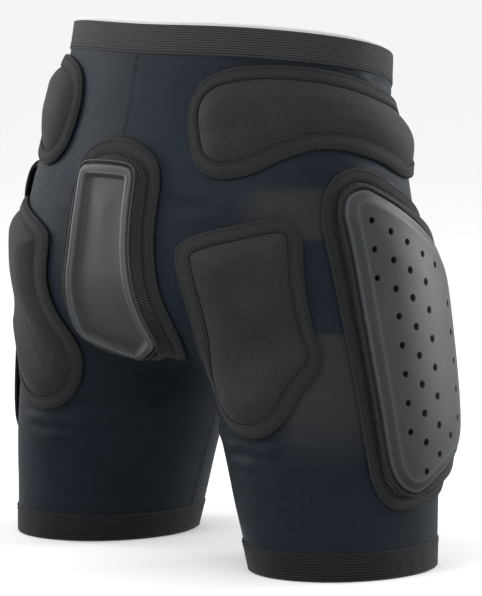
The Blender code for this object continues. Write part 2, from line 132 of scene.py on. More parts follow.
@dataclass(frozen=True)
class BodyForm:
    """The closed form that the fabric is stretched over: a trunk, two legs and a rounded seat."""

    trunk_wide: Knots = ((0.16, 0.150), (0.22, 0.163), (0.28, 0.172), (0.34, 0.170),
                         (0.40, 0.160), (0.46, 0.158), (0.52, 0.158))
    trunk_deep: Knots = ((0.16, 0.118), (0.22, 0.122), (0.28, 0.123), (0.34, 0.119),
                         (0.40, 0.116), (0.46, 0.109), (0.52, 0.108))
    trunk_shift: Knots = ((0.16, 0.018), (0.22, 0.017), (0.28, 0.014), (0.34, 0.010),
                          (0.40, 0.000), (0.46, -0.008), (0.52, -0.012))
    leg_wide: Knots = ((0.0, 0.072), (0.10, 0.087), (0.20, 0.095), (0.32, 0.090), (0.42, 0.070),
                       (0.52, 0.060))
    leg_deep: Knots = ((0.0, 0.088), (0.10, 0.096), (0.20, 0.100), (0.32, 0.095), (0.42, 0.080),
                       (0.52, 0.060))
    leg_centre: Knots = ((0.0, 0.141), (0.10, 0.126), (0.20, 0.106), (0.32, 0.086),
                         (0.42, 0.076), (0.52, 0.072))
    trunk_floor: float = 0.252
    trunk_round: float = 0.086
    leg_fillet: float = 0.026
    leg_taper_from: float = 0.34
    leg_taper: float = 0.5
    seat_centre: tuple[float, float, float] = (0.070, 0.042, 0.262)
    seat_radii: tuple[float, float, float] = (0.086, 0.090, 0.098)
    seat_fillet: float = 0.03
    under_hub: tuple[float, float] = (0.012, 0.262)
    crotch_drop: float = 0.132
    leg_line_rise: float = 0.165
    leg_line_power: float = 1.15
    gusset_turn: float = 112.0
    waist_mean: float = 0.436
    waist_rise: float = 0.029
    waist_dip: float = -0.0085
    probe: float = 0.0015
    furthest: float = 0.30

    def field(self, p: np.ndarray) -> np.ndarray:
        """Distance-like value at points (..., 3): ellipses joined by smooth unions, 0 on the cloth."""
        x, y, z = np.abs(p[..., 0]), p[..., 1], p[..., 2]
        wide, deep = profile(z, self.trunk_wide), profile(z, self.trunk_deep)
        below = np.maximum(0.0, self.trunk_floor - z) / self.trunk_round
        trunk = (np.sqrt((x / wide)**2 + ((y - profile(z, self.trunk_shift)) / deep)**2
                         + below**2) - 1) * deep
        thick, long = profile(z, self.leg_wide), profile(z, self.leg_deep)
        leg = (np.sqrt(((x - profile(z, self.leg_centre)) / thick)**2 + (y / long)**2) - 1) * thick
        leg = leg + np.maximum(0.0, z - self.leg_taper_from) * self.leg_taper
        off = (np.stack([x, y, z], -1) - self.seat_centre) / self.seat_radii
        seat = (np.sqrt((off**2).sum(-1)) - 1) * self.seat_radii[0]
        return union(union(trunk, leg, self.leg_fillet), seat, self.seat_fillet)

    def normal(self, p: np.ndarray) -> np.ndarray:
        """Outward unit normals at points (..., 3), from central differences of the field."""
        grad = np.stack([self.field(p + d) - self.field(p - d) for d in np.eye(3) * self.probe],
                        -1)
        return grad / np.linalg.norm(grad, axis=-1, keepdims=True)

    def cast(self, origin: np.ndarray, direction: np.ndarray) -> np.ndarray:
        """First point of the form along each ray, by marching outwards and then bisection.

        Args:
            origin: Starts of the rays (..., 3), inside the form.
            direction: Unit directions (..., 3).

        Returns:
            Points (..., 3) on the form.
        """
        origin, direction = np.broadcast_arrays(origin, direction)
        shape = origin.shape[:-1]
        near, far = np.zeros(shape), np.full(shape, self.furthest)
        found, last = np.zeros(shape, bool), 0.0
        for reach in np.linspace(0.008, self.furthest, 38):
            crossed = (self.field(origin + direction * reach) > 0) & ~found
            near, far = np.where(crossed, last, near), np.where(crossed, reach, far)
            found, last = found | crossed, reach
        for _ in range(18):
            mid = (near + far) / 2
            inside = self.field(origin + direction * mid[..., None]) < 0
            near, far = np.where(inside, mid, near), np.where(inside, far, mid)
        return origin + direction * ((near + far) / 2)[..., None]

    def leg_point(self, turn: np.ndarray, height: np.ndarray) -> np.ndarray:
        """Points on the left leg; turn is degrees from the outside towards the back."""
        turn, height = np.broadcast_arrays(np.radians(turn), height)
        zero = np.zeros(height.shape)
        return self.cast(np.stack([profile(height, self.leg_centre), zero, height], -1),
                         np.stack([np.cos(turn), np.sin(turn), zero], -1))

    def trunk_point(self, turn: np.ndarray, height: np.ndarray) -> np.ndarray:
        """Points on the trunk; turn is degrees from the centre back towards the left side."""
        turn, height = np.broadcast_arrays(np.radians(turn), height)
        zero = np.zeros(height.shape)
        return self.cast(np.stack([zero, zero, height], -1),
                         np.stack([np.sin(turn), np.cos(turn), zero], -1))

    def under_point(self, across: np.ndarray, drop: np.ndarray) -> np.ndarray:
        """Points behind and under the crotch; drop is degrees down from straight back."""
        across, drop = np.broadcast_arrays(across, np.radians(drop))
        zero = np.zeros(drop.shape)
        return self.cast(np.stack([across, zero + self.under_hub[0], zero + self.under_hub[1]], -1),
                         np.stack([zero, np.cos(drop), -np.sin(drop)], -1))

    def lift(self, p: np.ndarray, offset: np.ndarray | float) -> np.ndarray:
        """Points moved along the form's normal by an offset."""
        return p + self.normal(p) * np.asarray(offset, float)[..., None]

    def leg_line(self, turn: np.ndarray) -> np.ndarray:
        """Height of the leg line: a raised cosine, low inside and high at the outer hip."""
        return (self.crotch_drop
                + self.leg_line_rise * ((1 + np.cos(np.radians(turn))) / 2)**self.leg_line_power)

    def rim(self, turn: np.ndarray) -> np.ndarray:
        """Height of the waist rim: two cosines of the angle, highest at the centre back."""
        a = np.radians(turn)
        return self.waist_mean + self.waist_rise * np.cos(a) + self.waist_dip * np.cos(2 * a)


FORM = BodyForm()


# ------------------------------------------------------------------------------------------------
# Finishes
# ------------------------------------------------------------------------------------------------
class Num:
    """A number socket that can be used in ordinary arithmetic; each operator adds a Math node."""

    def __init__(self, desk: "Desk", socket: bpy.types.NodeSocket) -> None:
        """Keep the node tree's desk and the wrapped socket."""
        self.desk, self.socket = desk, socket

    def math(self, operation: str, *values: "Num | float") -> "Num":
        """Add a Math node with this socket first.

        Args:
            operation: Blender's name of the operation.
            values: The other operands.

        Returns:
            The node's result.
        """
        return self.desk.math(operation, self, *values)

    def __add__(self, other: "Num | float") -> "Num":
        """Sum."""
        return self.math("ADD", other)

    def __radd__(self, other: float) -> "Num":
        """Sum with the number first."""
        return self.desk.math("ADD", other, self)

    def __sub__(self, other: "Num | float") -> "Num":
        """Difference."""
        return self.math("SUBTRACT", other)

    def __rsub__(self, other: float) -> "Num":
        """Difference with the number first."""
        return self.desk.math("SUBTRACT", other, self)

    def __mul__(self, other: "Num | float") -> "Num":
        """Product."""
        return self.math("MULTIPLY", other)

    def __rmul__(self, other: float) -> "Num":
        """Product with the number first."""
        return self.desk.math("MULTIPLY", other, self)

    def wave(self, pitch: float) -> "Num":
        """Sine that repeats every pitch, between 0 and 1."""
        return (self * (2 * math.pi / pitch)).math("SINE") * 0.5 + 0.5

    def step(self, low: float, high: float) -> "Num":
        """Smooth step from 0 at low to 1 at high."""
        node = self.desk.node("ShaderNodeMapRange", {"interpolation_type": "SMOOTHSTEP"},
                              {"Value": self, "From Min": low, "From Max": high})
        return Num(self.desk, node.outputs["Result"])


class Desk:
    """One material's node tree, with a method for each thing that the finishes need."""

    def __init__(self, name: str) -> None:
        """Start a material with one Principled shader."""
        self.material = bpy.data.materials.new(name)
        self.material.use_nodes = True
        self.tree = self.material.node_tree
        self.shader = self.tree.nodes["Principled BSDF"]

    def node(self, kind: str, settings: dict[str, object], inputs: dict[str, object]) -> bpy.types.Node:
        """Add any node.

        Args:
            kind: The node's type name.
            settings: Properties, set before the inputs.
            inputs: Values or links by socket name or number.

        Returns:
            The new node.
        """
        node = self.tree.nodes.new(kind)
        for key, value in settings.items():
            setattr(node, key, value)
        for key, value in inputs.items():
            self.put(node.inputs[key], value)
        return node

    def put(self, socket: bpy.types.NodeSocket, value: object) -> None:
        """Give a socket a link or a constant."""
        if isinstance(value, Num):
            value = value.socket
        if isinstance(value, bpy.types.NodeSocket):
            self.tree.links.new(value, socket)
        elif isinstance(value, (tuple, list)) and socket.type == "RGBA" and len(value) == 3:
            socket.default_value = (*value, 1.0)
        else:
            socket.default_value = value

    def math(self, operation: str, *values: "Num | float") -> Num:
        """Add a Math node and return its result."""
        node = self.node("ShaderNodeMath", {"operation": operation}, dict(enumerate(values)))
        return Num(self, node.outputs[0])

    def uv(self) -> tuple[Num, Num, bpy.types.NodeSocket]:
        """The piece's own UV map in metres, as two numbers and as a vector."""
        source = self.node("ShaderNodeUVMap", {"uv_map": "lay"}, {}).outputs["UV"]
        parts = self.node("ShaderNodeSeparateXYZ", {}, {0: source})
        return Num(self, parts.outputs[0]), Num(self, parts.outputs[1]), source

    def place(self) -> bpy.types.NodeSocket:
        """Object coordinates."""
        return self.node("ShaderNodeTexCoord", {}, {}).outputs["Object"]

    def mask(self, name: str) -> Num:
        """A number stored on the piece's vertices."""
        node = self.node("ShaderNodeAttribute", {"attribute_name": name}, {})
        return Num(self, node.outputs["Fac"])

    def noise(self, vector: bpy.types.NodeSocket, scale: float, detail: float = 3.0,
              stretch: Colour = (1.0, 1.0, 1.0)) -> Num:
        """Noise on a vector, which can be stretched first."""
        laid = self.node("ShaderNodeVectorMath", {"operation": "MULTIPLY"}, {0: vector, 1: stretch})
        node = self.node("ShaderNodeTexNoise", {}, {"Vector": laid.outputs[0], "Scale": scale,
                                                    "Detail": detail})
        return Num(self, node.outputs["Fac"])

    def mix(self, factor: Num | float, a: object, b: object) -> bpy.types.NodeSocket:
        """Colour between a and b."""
        node = self.node("ShaderNodeMix", {"data_type": "RGBA"}, {0: factor, 6: a, 7: b})
        return node.outputs[2]

    def bump(self, height: Num, distance: float, strength: float = 1.0) -> bpy.types.NodeSocket:
        """Normal from a height, with its full size in metres."""
        node = self.node("ShaderNodeBump", {}, {"Strength": strength, "Distance": distance,
                                                "Height": height})
        return node.outputs["Normal"]

    def finish(self, **sockets: object) -> bpy.types.Material:
        """Fill the Principled shader's sockets, named with underscores, and return the material."""
        for key, value in sockets.items():
            self.put(self.shader.inputs[key.replace("_", " ")], value)
        return self.material


@dataclass(frozen=True)
class StretchKnit:
    """Smooth navy stretch cloth: fine wales, a soft sheen, broad uneven dye, and a warmer panel whose
    pale colour is partly painted sheen.
    """

    deep: Colour = (0.0060, 0.0094, 0.0145)
    pale: Colour = (0.0114, 0.0165, 0.0240)
    # Warm pale colour of the panel: its own fabric tone, lightened with painted sheen.
    panel_sheen: Colour = (0.0290, 0.0285, 0.0285)

    def make(self) -> bpy.types.Material:
        """Build the material."""
        desk = Desk("stretch_knit")
        u, v, lay = desk.uv()
        broad = desk.noise(desk.place(), 9.0, 4.0)
        thread = desk.noise(lay, 900.0, 2.0, (1.0, 0.22, 1.0))
        wale = u.wave(0.0011) * 0.6 + v.wave(0.0016) * 0.4
        tone = desk.mix((broad * 0.7 + thread * 0.5).step(0.35, 0.85), self.deep, self.pale)
        # Mix in the panel colour, which is partly painted sheen.
        tone = desk.mix(desk.mask("panel") * (thread * 0.5 + 0.5), tone, self.panel_sheen)
        return desk.finish(
            Base_Color=tone, Roughness=thread * 0.16 + 0.46 + desk.mask("panel") * 0.12,
            Normal=desk.bump(wale * 0.5 + thread, 0.00016), Sheen_Weight=0.04,
            Sheen_Roughness=0.4, Sheen_Tint=(0.62, 0.70, 0.85, 1.0), Specular_IOR_Level=0.10)


@dataclass(frozen=True)
class RibbedElastic:
    """Dark grey woven elastic with raised ribs along its length."""

    name: str = "ribbed_elastic"
    dark: Colour = (0.012, 0.0125, 0.013)
    light: Colour = (0.046, 0.047, 0.050)
    rib: float = 0.0021

    def make(self) -> bpy.types.Material:
        """Build the material."""
        desk = Desk(self.name)
        u, v, lay = desk.uv()
        ribs = v.wave(self.rib)
        pick = u.wave(0.0016)
        fluff = desk.noise(lay, 700.0, 3.0)
        tone = desk.mix((ribs * 0.55 + pick * 0.2 + fluff * 0.35).step(0.2, 0.95), self.dark,
                        self.light)
        return desk.finish(Base_Color=tone, Roughness=fluff * 0.2 + 0.62,
                           Normal=desk.bump(ribs + pick * 0.4 + fluff * 0.5, 0.0003),
                           Sheen_Weight=0.06, Sheen_Roughness=0.4, Specular_IOR_Level=0.18)


@dataclass(frozen=True)
class PaleLining:
    """Off-white soft lining knit."""

    tone: Colour = (0.80, 0.80, 0.82)

    def make(self) -> bpy.types.Material:
        """Build the material."""
        desk = Desk("pale_lining")
        u, v, lay = desk.uv()
        fluff = desk.noise(lay, 600.0, 3.0)
        loop = u.wave(0.0018) * v.wave(0.0018)
        return desk.finish(Base_Color=desk.mix(fluff, self.tone, (0.62, 0.62, 0.65)),
                           Roughness=0.85, Normal=desk.bump(loop + fluff * 0.6, 0.0003),
                           Sheen_Weight=0.15)


@dataclass(frozen=True)
class BindingTape:
    """Ribbed knitted tape: ribs across it and along it, with fine fluff."""

    dark: Colour = (0.0090, 0.0094, 0.0098)
    light: Colour = (0.0330, 0.0340, 0.0350)

    def make(self) -> bpy.types.Material:
        """Build the material."""
        desk = Desk("binding_tape")
        u, v, lay = desk.uv()
        cross = u.wave(0.0013)
        along = v.wave(0.0015)
        fluff = desk.noise(lay, 650.0, 3.0)
        tone = desk.mix((cross * 0.35 + along * 0.25 + fluff * 0.5).step(0.25, 0.95), self.dark,
                        self.light)
        return desk.finish(Base_Color=tone, Roughness=fluff * 0.18 + 0.66,
                           Normal=desk.bump(cross * 0.8 + along * 0.6 + fluff * 0.5, 0.00026),
                           Sheen_Weight=0.06, Sheen_Roughness=0.4, Specular_IOR_Level=0.16)


@dataclass(frozen=True)
class SpacerMesh:
    """Diagonal spacer mesh over foam: crossed cords with dark eyelets between them."""

    name: str = "spacer_mesh"
    dark: Colour = (0.0048, 0.0050, 0.0053)
    light: Colour = (0.0430, 0.0440, 0.0455)
    pitch: float = 0.0021

    def make(self) -> bpy.types.Material:
        """Build the material."""
        desk = Desk(self.name)
        u, v, lay = desk.uv()
        one, two = (u + v).wave(self.pitch), (u - v * 0.8).wave(self.pitch)
        cord = one.math("MAXIMUM", two)
        eye = (one * two).math("SQRT")
        fluff = desk.noise(lay, 800.0, 2.0)
        broad = desk.noise(lay, 26.0, 3.0)
        weave = cord * 0.55 + eye * 0.35 + fluff * 0.25
        tone = desk.mix((weave * (broad * 0.4 + 0.8)).step(0.35, 1.15), self.dark, self.light)
        return desk.finish(Base_Color=tone, Roughness=fluff * 0.15 + 0.60,
                           Normal=desk.bump(weave, 0.00036), Sheen_Weight=0.05,
                           Sheen_Roughness=0.4, Specular_IOR_Level=0.16)


@dataclass(frozen=True)
class MouldedPlastic:
    """Moulded plate with a faint grain, random scuffs and a painted highlight along its edge crests."""

    name: str
    tone: Colour
    # Pale colour of the painted crest highlight; the random scuffs and cloud blend towards it too.
    crest_highlight: Colour
    rough: float
    grain: float
    coat: float = 0.0

    def make(self) -> bpy.types.Material:
        """Build the material."""
        desk = Desk(self.name)
        place = desk.place()
        grain = desk.noise(place, 1500.0, 2.0)
        cloud = desk.noise(place, 22.0, 4.0)
        scuff = desk.noise(place, 160.0, 5.0, (1.0, 1.0, 0.25)).step(0.60, 0.78)
        # The edge mask is painted highlight along the plate's crests.
        edge = desk.mask("edge")
        tone = desk.mix((edge * 0.75 + scuff * 0.12 + cloud * 0.16).math("MINIMUM", 1.0),
                        self.tone, self.crest_highlight)
        return desk.finish(Base_Color=tone, Roughness=self.rough + cloud * 0.10 + scuff * 0.10,
                           Normal=desk.bump(grain, self.grain), Coat_Weight=self.coat,
                           Coat_Roughness=0.18, Specular_IOR_Level=0.36)


@dataclass(frozen=True)
class SewingThread:
    """Twisted polyester thread."""

    tone: Colour = (0.034, 0.035, 0.037)

    def make(self) -> bpy.types.Material:
        """Build the material."""
        desk = Desk("sewing_thread")
        twist = desk.noise(desk.place(), 1400.0, 2.0)
        return desk.finish(Base_Color=desk.mix(twist, self.tone, (0.012, 0.0125, 0.0135)),
                           Roughness=0.6, Normal=desk.bump(twist, 0.0001),
                           Specular_IOR_Level=0.2)


@dataclass
class Wardrobe:
    """Every finish, made once."""

    knit: bpy.types.Material = field(default_factory=lambda: StretchKnit().make())
    elastic: bpy.types.Material = field(default_factory=lambda: RibbedElastic().make())
    hem: bpy.types.Material = field(default_factory=lambda: RibbedElastic(
        "hem_band", (0.0055, 0.0060, 0.0068), (0.0170, 0.0178, 0.0195), 0.0024).make())
    lining: bpy.types.Material = field(default_factory=lambda: PaleLining().make())
    tape: bpy.types.Material = field(default_factory=lambda: BindingTape().make())
    mesh: bpy.types.Material = field(default_factory=lambda: SpacerMesh().make())
    # The second colour of each plastic is its painted crest highlight, also used by its scuffs.
    plate: bpy.types.Material = field(default_factory=lambda: MouldedPlastic(
        "thigh_plastic", (0.021, 0.0245, 0.0268), (0.052, 0.057, 0.061), 0.46, 0.00005).make())
    dish: bpy.types.Material = field(default_factory=lambda: MouldedPlastic(
        "tailbone_plastic", (0.029, 0.0325, 0.0355), (0.080, 0.086, 0.091), 0.48, 0.00002,
        0.04).make())
    thread: bpy.types.Material = field(default_factory=lambda: SewingThread().make())


# ------------------------------------------------------------------------------------------------
# Meshes
# ------------------------------------------------------------------------------------------------
@dataclass
class Grid:
    """A grid of points with its lay in metres and any masks on its vertices."""

    points: np.ndarray
    lay: np.ndarray
    wrap_cols: bool = False
    wrap_rows: bool = False
    masks: dict[str, np.ndarray] = field(default_factory=dict)

    def faces(self) -> tuple[np.ndarray, np.ndarray]:
        """Quads as vertex numbers, and the lay at each of their corners."""
        rows, cols = self.points.shape[:2]
        r = np.arange(rows if self.wrap_rows else rows - 1)[:, None]
        c = np.arange(cols if self.wrap_cols else cols - 1)[None, :]
        corners = [(r, c), (r, c + 1), (r + 1, c + 1), (r + 1, c)]
        index = np.stack([(i % rows) * cols + j % cols for i, j in corners], -1).reshape(-1, 4)
        i_max, j_max = self.lay.shape[0] - 1, self.lay.shape[1] - 1
        lay = np.stack([self.lay[np.minimum(i, i_max), np.minimum(j, j_max)]
                        for i, j in corners], -2).reshape(-1, 4, 2)
        return index, lay


def board(across: np.ndarray, down: np.ndarray) -> np.ndarray:
    """Lay (rows, cols, 2) from the places of the columns and of the rows."""
    return np.stack(np.meshgrid(across, down, indexing="xy"), -1)


def lay_of(points: np.ndarray, wrap_cols: bool = False) -> np.ndarray:
    """Lay of a grid from the lengths along its middle row and middle column.

    Args:
        points: Grid (rows, cols, 3).
        wrap_cols: Whether each row closes on itself, so that its lay needs one more column.

    Returns:
        Lay (rows, cols or cols + 1, 2) in metres.
    """
    if wrap_cols:
        points = np.concatenate([points, points[:, :1]], 1)
    across = np.linalg.norm(np.diff(points, axis=1), axis=2).mean(0)
    down = np.linalg.norm(np.diff(points, axis=0), axis=2).mean(1)
    u = np.concatenate([[0.0], np.cumsum(across)])
    v = np.concatenate([[0.0], np.cumsum(down)])
    return board(u, v)


def mesh_piece(name: str, grids: Sequence[Grid], look: bpy.types.Material | None, side: Side = Side.LEFT,
               caps: Sequence[np.ndarray] = (), weld: float = 0.0) -> bpy.types.Object:
    """Make one object from grids that may share edges.

    Args:
        name: The piece's name.
        grids: Its grids, in form coordinates of the left half.
        look: Its material.
        side: The half it belongs to; the right half is mirrored.
        caps: Further quads (n, 4) as vertex numbers over all grids, repeated corners for triangles.
        weld: Distance under which vertices are merged, or 0 for none.

    Returns:
        The linked object, smooth shaded, its faces pointing outwards.
    """
    points = np.concatenate([g.points.reshape(-1, 3) for g in grids])
    points = (points - (0.0, SETBACK, 0.0)) * (side.value, 1.0, 1.0)
    quads, lays, base = [], [], 0
    for grid in grids:
        index, lay = grid.faces()
        quads.append(index + base)
        lays.append(lay)
        base += grid.points.shape[0] * grid.points.shape[1]
    if len(caps):
        cap = np.concatenate(caps)
        quads.append(cap)
        flat = [g.lay[:g.points.shape[0], :g.points.shape[1]].reshape(-1, 2) for g in grids]
        lays.append(np.concatenate(flat)[cap])
    quads, lays = np.concatenate(quads), np.concatenate(lays)
    mesh = bpy.data.meshes.new(name)
    keep = np.ones(quads.shape, bool)
    for k in range(4):
        keep[:, k] = quads[:, k] != quads[:, k - 1]
    sizes = keep.sum(1)
    mesh.vertices.add(len(points))
    mesh.vertices.foreach_set("co", points.astype(np.float32).ravel())
    mesh.loops.add(int(sizes.sum()))
    mesh.loops.foreach_set("vertex_index", quads[keep].astype(np.int32))
    mesh.polygons.add(len(quads))
    mesh.polygons.foreach_set("loop_start", (np.cumsum(sizes) - sizes).astype(np.int32))
    mesh.update(calc_edges=True)
    layer = mesh.uv_layers.new(name="lay")
    layer.data.foreach_set("uv", lays[keep].astype(np.float32).ravel())
    for mask in sorted({key for g in grids for key in g.masks}):
        values = np.concatenate([np.broadcast_to(g.masks.get(mask, 0.0), g.points.shape[:2]).ravel()
                                 for g in grids])
        mesh.attributes.new(mask, "FLOAT", "POINT").data.foreach_set("value",
                                                                    values.astype(np.float32))
    bm = bmesh.new()
    bm.from_mesh(mesh)
    if weld:
        bmesh.ops.remove_doubles(bm, verts=bm.verts, dist=weld)
    bmesh.ops.recalc_face_normals(bm, faces=bm.faces)
    bm.to_mesh(mesh)
    bm.free()
    mesh.shade_smooth()
    if look:
        mesh.materials.append(look)
    piece = bpy.data.objects.new(name, mesh)
    bpy.context.scene.collection.objects.link(piece)
    return piece


def loose_piece(name: str, points: np.ndarray, quads: np.ndarray,
                look: bpy.types.Material | None, side: Side) -> bpy.types.Object:
    """One object from points (n, 3) and quads (m, 4), without a lay."""
    return mesh_piece(name, [Grid(points[None], np.zeros((1, len(points), 2)))], look, side,
                      [quads])


def face_outwards(piece: bpy.types.Object) -> None:
    """Turn an open sheet's faces so that they point away from the form."""
    mesh = piece.data
    centre, normal = np.zeros(len(mesh.polygons) * 3), np.zeros(len(mesh.polygons) * 3)
    mesh.polygons.foreach_get("center", centre)
    mesh.polygons.foreach_get("normal", normal)
    outward = FORM.normal(centre.reshape(-1, 3) + (0.0, SETBACK, 0.0))
    if (outward * normal.reshape(-1, 3)).sum() < 0:
        mesh.flip_normals()


def apply_modifiers(piece: bpy.types.Object) -> None:
    """Replace a piece's mesh by its evaluated one, leaving no modifier."""
    graph = bpy.context.evaluated_depsgraph_get()
    made = bpy.data.meshes.new_from_object(piece.evaluated_get(graph), depsgraph=graph,
                                           preserve_all_data_layers=True)
    piece.modifiers.clear()
    piece.data = made


# ------------------------------------------------------------------------------------------------
# How a piece moves
# ------------------------------------------------------------------------------------------------
@dataclass(frozen=True)
class GroinFold:
    """The soft zone at the fold between the trunk and one leg, given by the two ends of its line."""

    start: tuple[float, float, float] = (0.085, 0.0, 0.240)
    end: tuple[float, float, float] = (0.184, 0.0, 0.1275)

    def bend(self, piece: bpy.types.Object, side: Side) -> None:
        """Bake a piece's transform into its mesh; the ends of the fold on its side are worked out but
        not used.
        """
        ends = [(x * side.value, y, z) for x, y, z in (self.start, self.end)]
        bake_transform(piece)


FOLD = GroinFold()


# ------------------------------------------------------------------------------------------------
# Sewing thread
# ------------------------------------------------------------------------------------------------
def walk(path: np.ndarray, pitch: float, closed: bool) -> tuple[np.ndarray, np.ndarray]:
    """Evenly spaced places along a path.

    Args:
        path: Points (n, 3).
        pitch: Wanted spacing.
        closed: Whether the path joins up with its start.

    Returns:
        Places (m, 3) and unit tangents (m, 3).
    """
    line = np.concatenate([path, path[:1]]) if closed else path
    along = np.concatenate([[0.0], np.cumsum(np.linalg.norm(np.diff(line, axis=0), axis=1))])
    count = max(2, int(round(along[-1] / pitch)))
    at = (np.arange(count) + 0.5) * along[-1] / count
    read = lambda s: np.stack([np.interp(s, along, line[:, k]) for k in range(3)], -1)
    ahead = read(np.minimum(at + pitch / 4, along[-1])) - read(np.maximum(at - pitch / 4, 0.0))
    return read(at), ahead / np.linalg.norm(ahead, axis=1, keepdims=True)


def beads(count: int, rings: int, around: int) -> np.ndarray:
    """Quads of many equal closed tubes: each has rings of around points and a lid at both ends."""
    r, c = np.meshgrid(np.arange(rings - 1), np.arange(around), indexing="ij")
    wall = np.stack([r * around + c, r * around + (c + 1) % around,
                     (r + 1) * around + (c + 1) % around, (r + 1) * around + c], -1).reshape(-1, 4)
    i = np.arange(around // 2 - 1)
    lid = np.stack([i, i + 1, around - 2 - i, around - 1 - i], -1)
    one = np.concatenate([wall, lid, lid + (rings - 1) * around])
    return (one[None] + np.arange(count)[:, None, None] * rings * around).reshape(-1, 4)


@dataclass(frozen=True)
class Stitch:
    """One visible loop of thread: a short bean whose ends dive into the cloth."""

    pitch: float = 0.0030
    length: float = 0.0023
    thick: float = 0.00030
    arch: float = 0.00028
    slant: float = 0.0
    stations: tuple[float, ...] = (-1.0, -0.62, 0.0, 0.62, 1.0)
    round: int = 6

    def sew(self, rows: Sequence[np.ndarray], closed: bool) -> tuple[np.ndarray, np.ndarray]:
        """Stitches along several paths.

        Each ring of a bean stands at a station u along it, with radius thick * (1 - 0.6 u^2), and is
        lifted by arch * (1 - u^2).

        Args:
            rows: Paths (n, 3) on the form, already at the height where the thread lies.
            closed: Whether the paths join up with their starts.

        Returns:
            Points and quads.
        """
        places, tangents = (np.concatenate(part) for part in
                            zip(*[walk(row, self.pitch, closed) for row in rows]))
        up = FORM.normal(places)
        across = np.cross(up, tangents)
        across /= np.linalg.norm(across, axis=1, keepdims=True)
        tangents = tangents * math.cos(self.slant) + across * math.sin(self.slant)
        across = np.cross(up, tangents)
        u = np.array(self.stations)[None, :, None, None]
        turn = np.linspace(0, 2 * math.pi, self.round, endpoint=False)[None, None, :, None]
        radius = self.thick * (1 - 0.6 * u**2)
        put = lambda v: v[:, None, None, :]
        points = (put(places) + put(tangents) * u * self.length / 2
                  + (put(across) * np.cos(turn) + put(up) * np.sin(turn)) * radius
                  + put(up) * self.arch * (1 - u**2))
        return points.reshape(-1, 3), beads(len(places), len(self.stations), self.round)


def sewn(name: str, rows: Sequence[np.ndarray], looks: Wardrobe, side: Side, closed: bool = True,
         stitch: Stitch = Stitch()) -> bpy.types.Object:
    """One object holding every stitch of some rows."""
    return loose_piece(name, *stitch.sew(rows, closed), looks.thread, side)


# ------------------------------------------------------------------------------------------------
# Pads
# ------------------------------------------------------------------------------------------------
def outline(corners: np.ndarray, count: int) -> np.ndarray:
    """Catmull-Rom curve through closed corners, read at evenly spaced points (count, 2)."""
    closed = refine(corners, 24)
    closed = np.vstack([closed, closed[:1]])
    along = np.concatenate([[0], np.cumsum(np.linalg.norm(np.diff(closed, axis=0), axis=1))])
    even = np.linspace(0, along[-1], count, endpoint=False)
    return np.stack([np.interp(even, along, closed[:, i]) for i in (0, 1)], -1)


def refine(curve: np.ndarray, times: int) -> np.ndarray:
    """Closed Catmull-Rom curve with a number of steps between each two given points."""
    t = np.linspace(0, 1, times, endpoint=False)[None, :, None]
    o, q, r, s = (np.roll(curve, k, 0)[:, None] for k in (1, 0, -1, -2))
    fine = 0.5 * (2 * q + (r - o) * t + (2 * o - 5 * q + 4 * r - s) * t**2
                  + (3 * q - o - 3 * r + s) * t**3)
    return fine.reshape(-1, curve.shape[1])


def inset(curve: np.ndarray, depth: float) -> np.ndarray:
    """Closed curve moved inwards by a depth, along its own normals."""
    tangent = np.roll(curve, -1, 0) - np.roll(curve, 1, 0)
    tangent /= np.linalg.norm(tangent, axis=1, keepdims=True)
    x, y = curve.T
    turning = np.sign((x * np.roll(y, -1) - y * np.roll(x, -1)).sum())
    return curve + np.stack([-tangent[:, 1], tangent[:, 0]], -1) * depth * turning


def feet(curve: np.ndarray, spine: np.ndarray) -> np.ndarray:
    """Nearest spine point of every curve point, evened out between the spine's two sides."""
    start, run = spine[:-1], np.diff(spine, axis=0)
    t = np.clip(((curve[:, None] - start) * run).sum(-1) / (run**2).sum(-1), 0.0, 1.0)
    foot = start + run * t[..., None]
    near = foot[np.arange(len(curve)), np.linalg.norm(curve[:, None] - foot, axis=2).argmin(1)]
    return (near + np.roll(near[::-1], 1, 0)) / 2


def ripple(at: np.ndarray, pitch: float, seed: int) -> np.ndarray:
    """Gentle unevenness from -1 to 1: the mean of eight plane waves in seeded directions."""
    angle, phase, size = np.random.default_rng(seed).random((3, 8))
    angle, phase = angle * 2 * math.pi, phase * 2 * math.pi
    wave = 2 * math.pi / (pitch * (0.7 + 0.9 * size))
    x, y = at[..., 0, None], at[..., 1, None]
    return np.cos((x * np.cos(angle) + y * np.sin(angle)) * wave + phase).mean(-1) * 1.6


class Chart(Enum):
    """Drawing boards laid on the form, with the metres of one unit across and one unit up."""

    LEG = (math.radians(1) * 0.100, 0.001)
    TRUNK = (math.radians(1) * 0.150, 0.001)
    TAIL = (0.001, math.radians(1) * 0.125)

    def land(self, drawn: np.ndarray) -> np.ndarray:
        """Points of the form under drawn points (..., 2)."""
        at = drawn / self.value
        if self is Chart.TAIL:
            return FORM.under_point(at[..., 0] / 1000, at[..., 1])
        cast = FORM.leg_point if self is Chart.LEG else FORM.trunk_point
        return cast(at[..., 0], at[..., 1] / 1000)


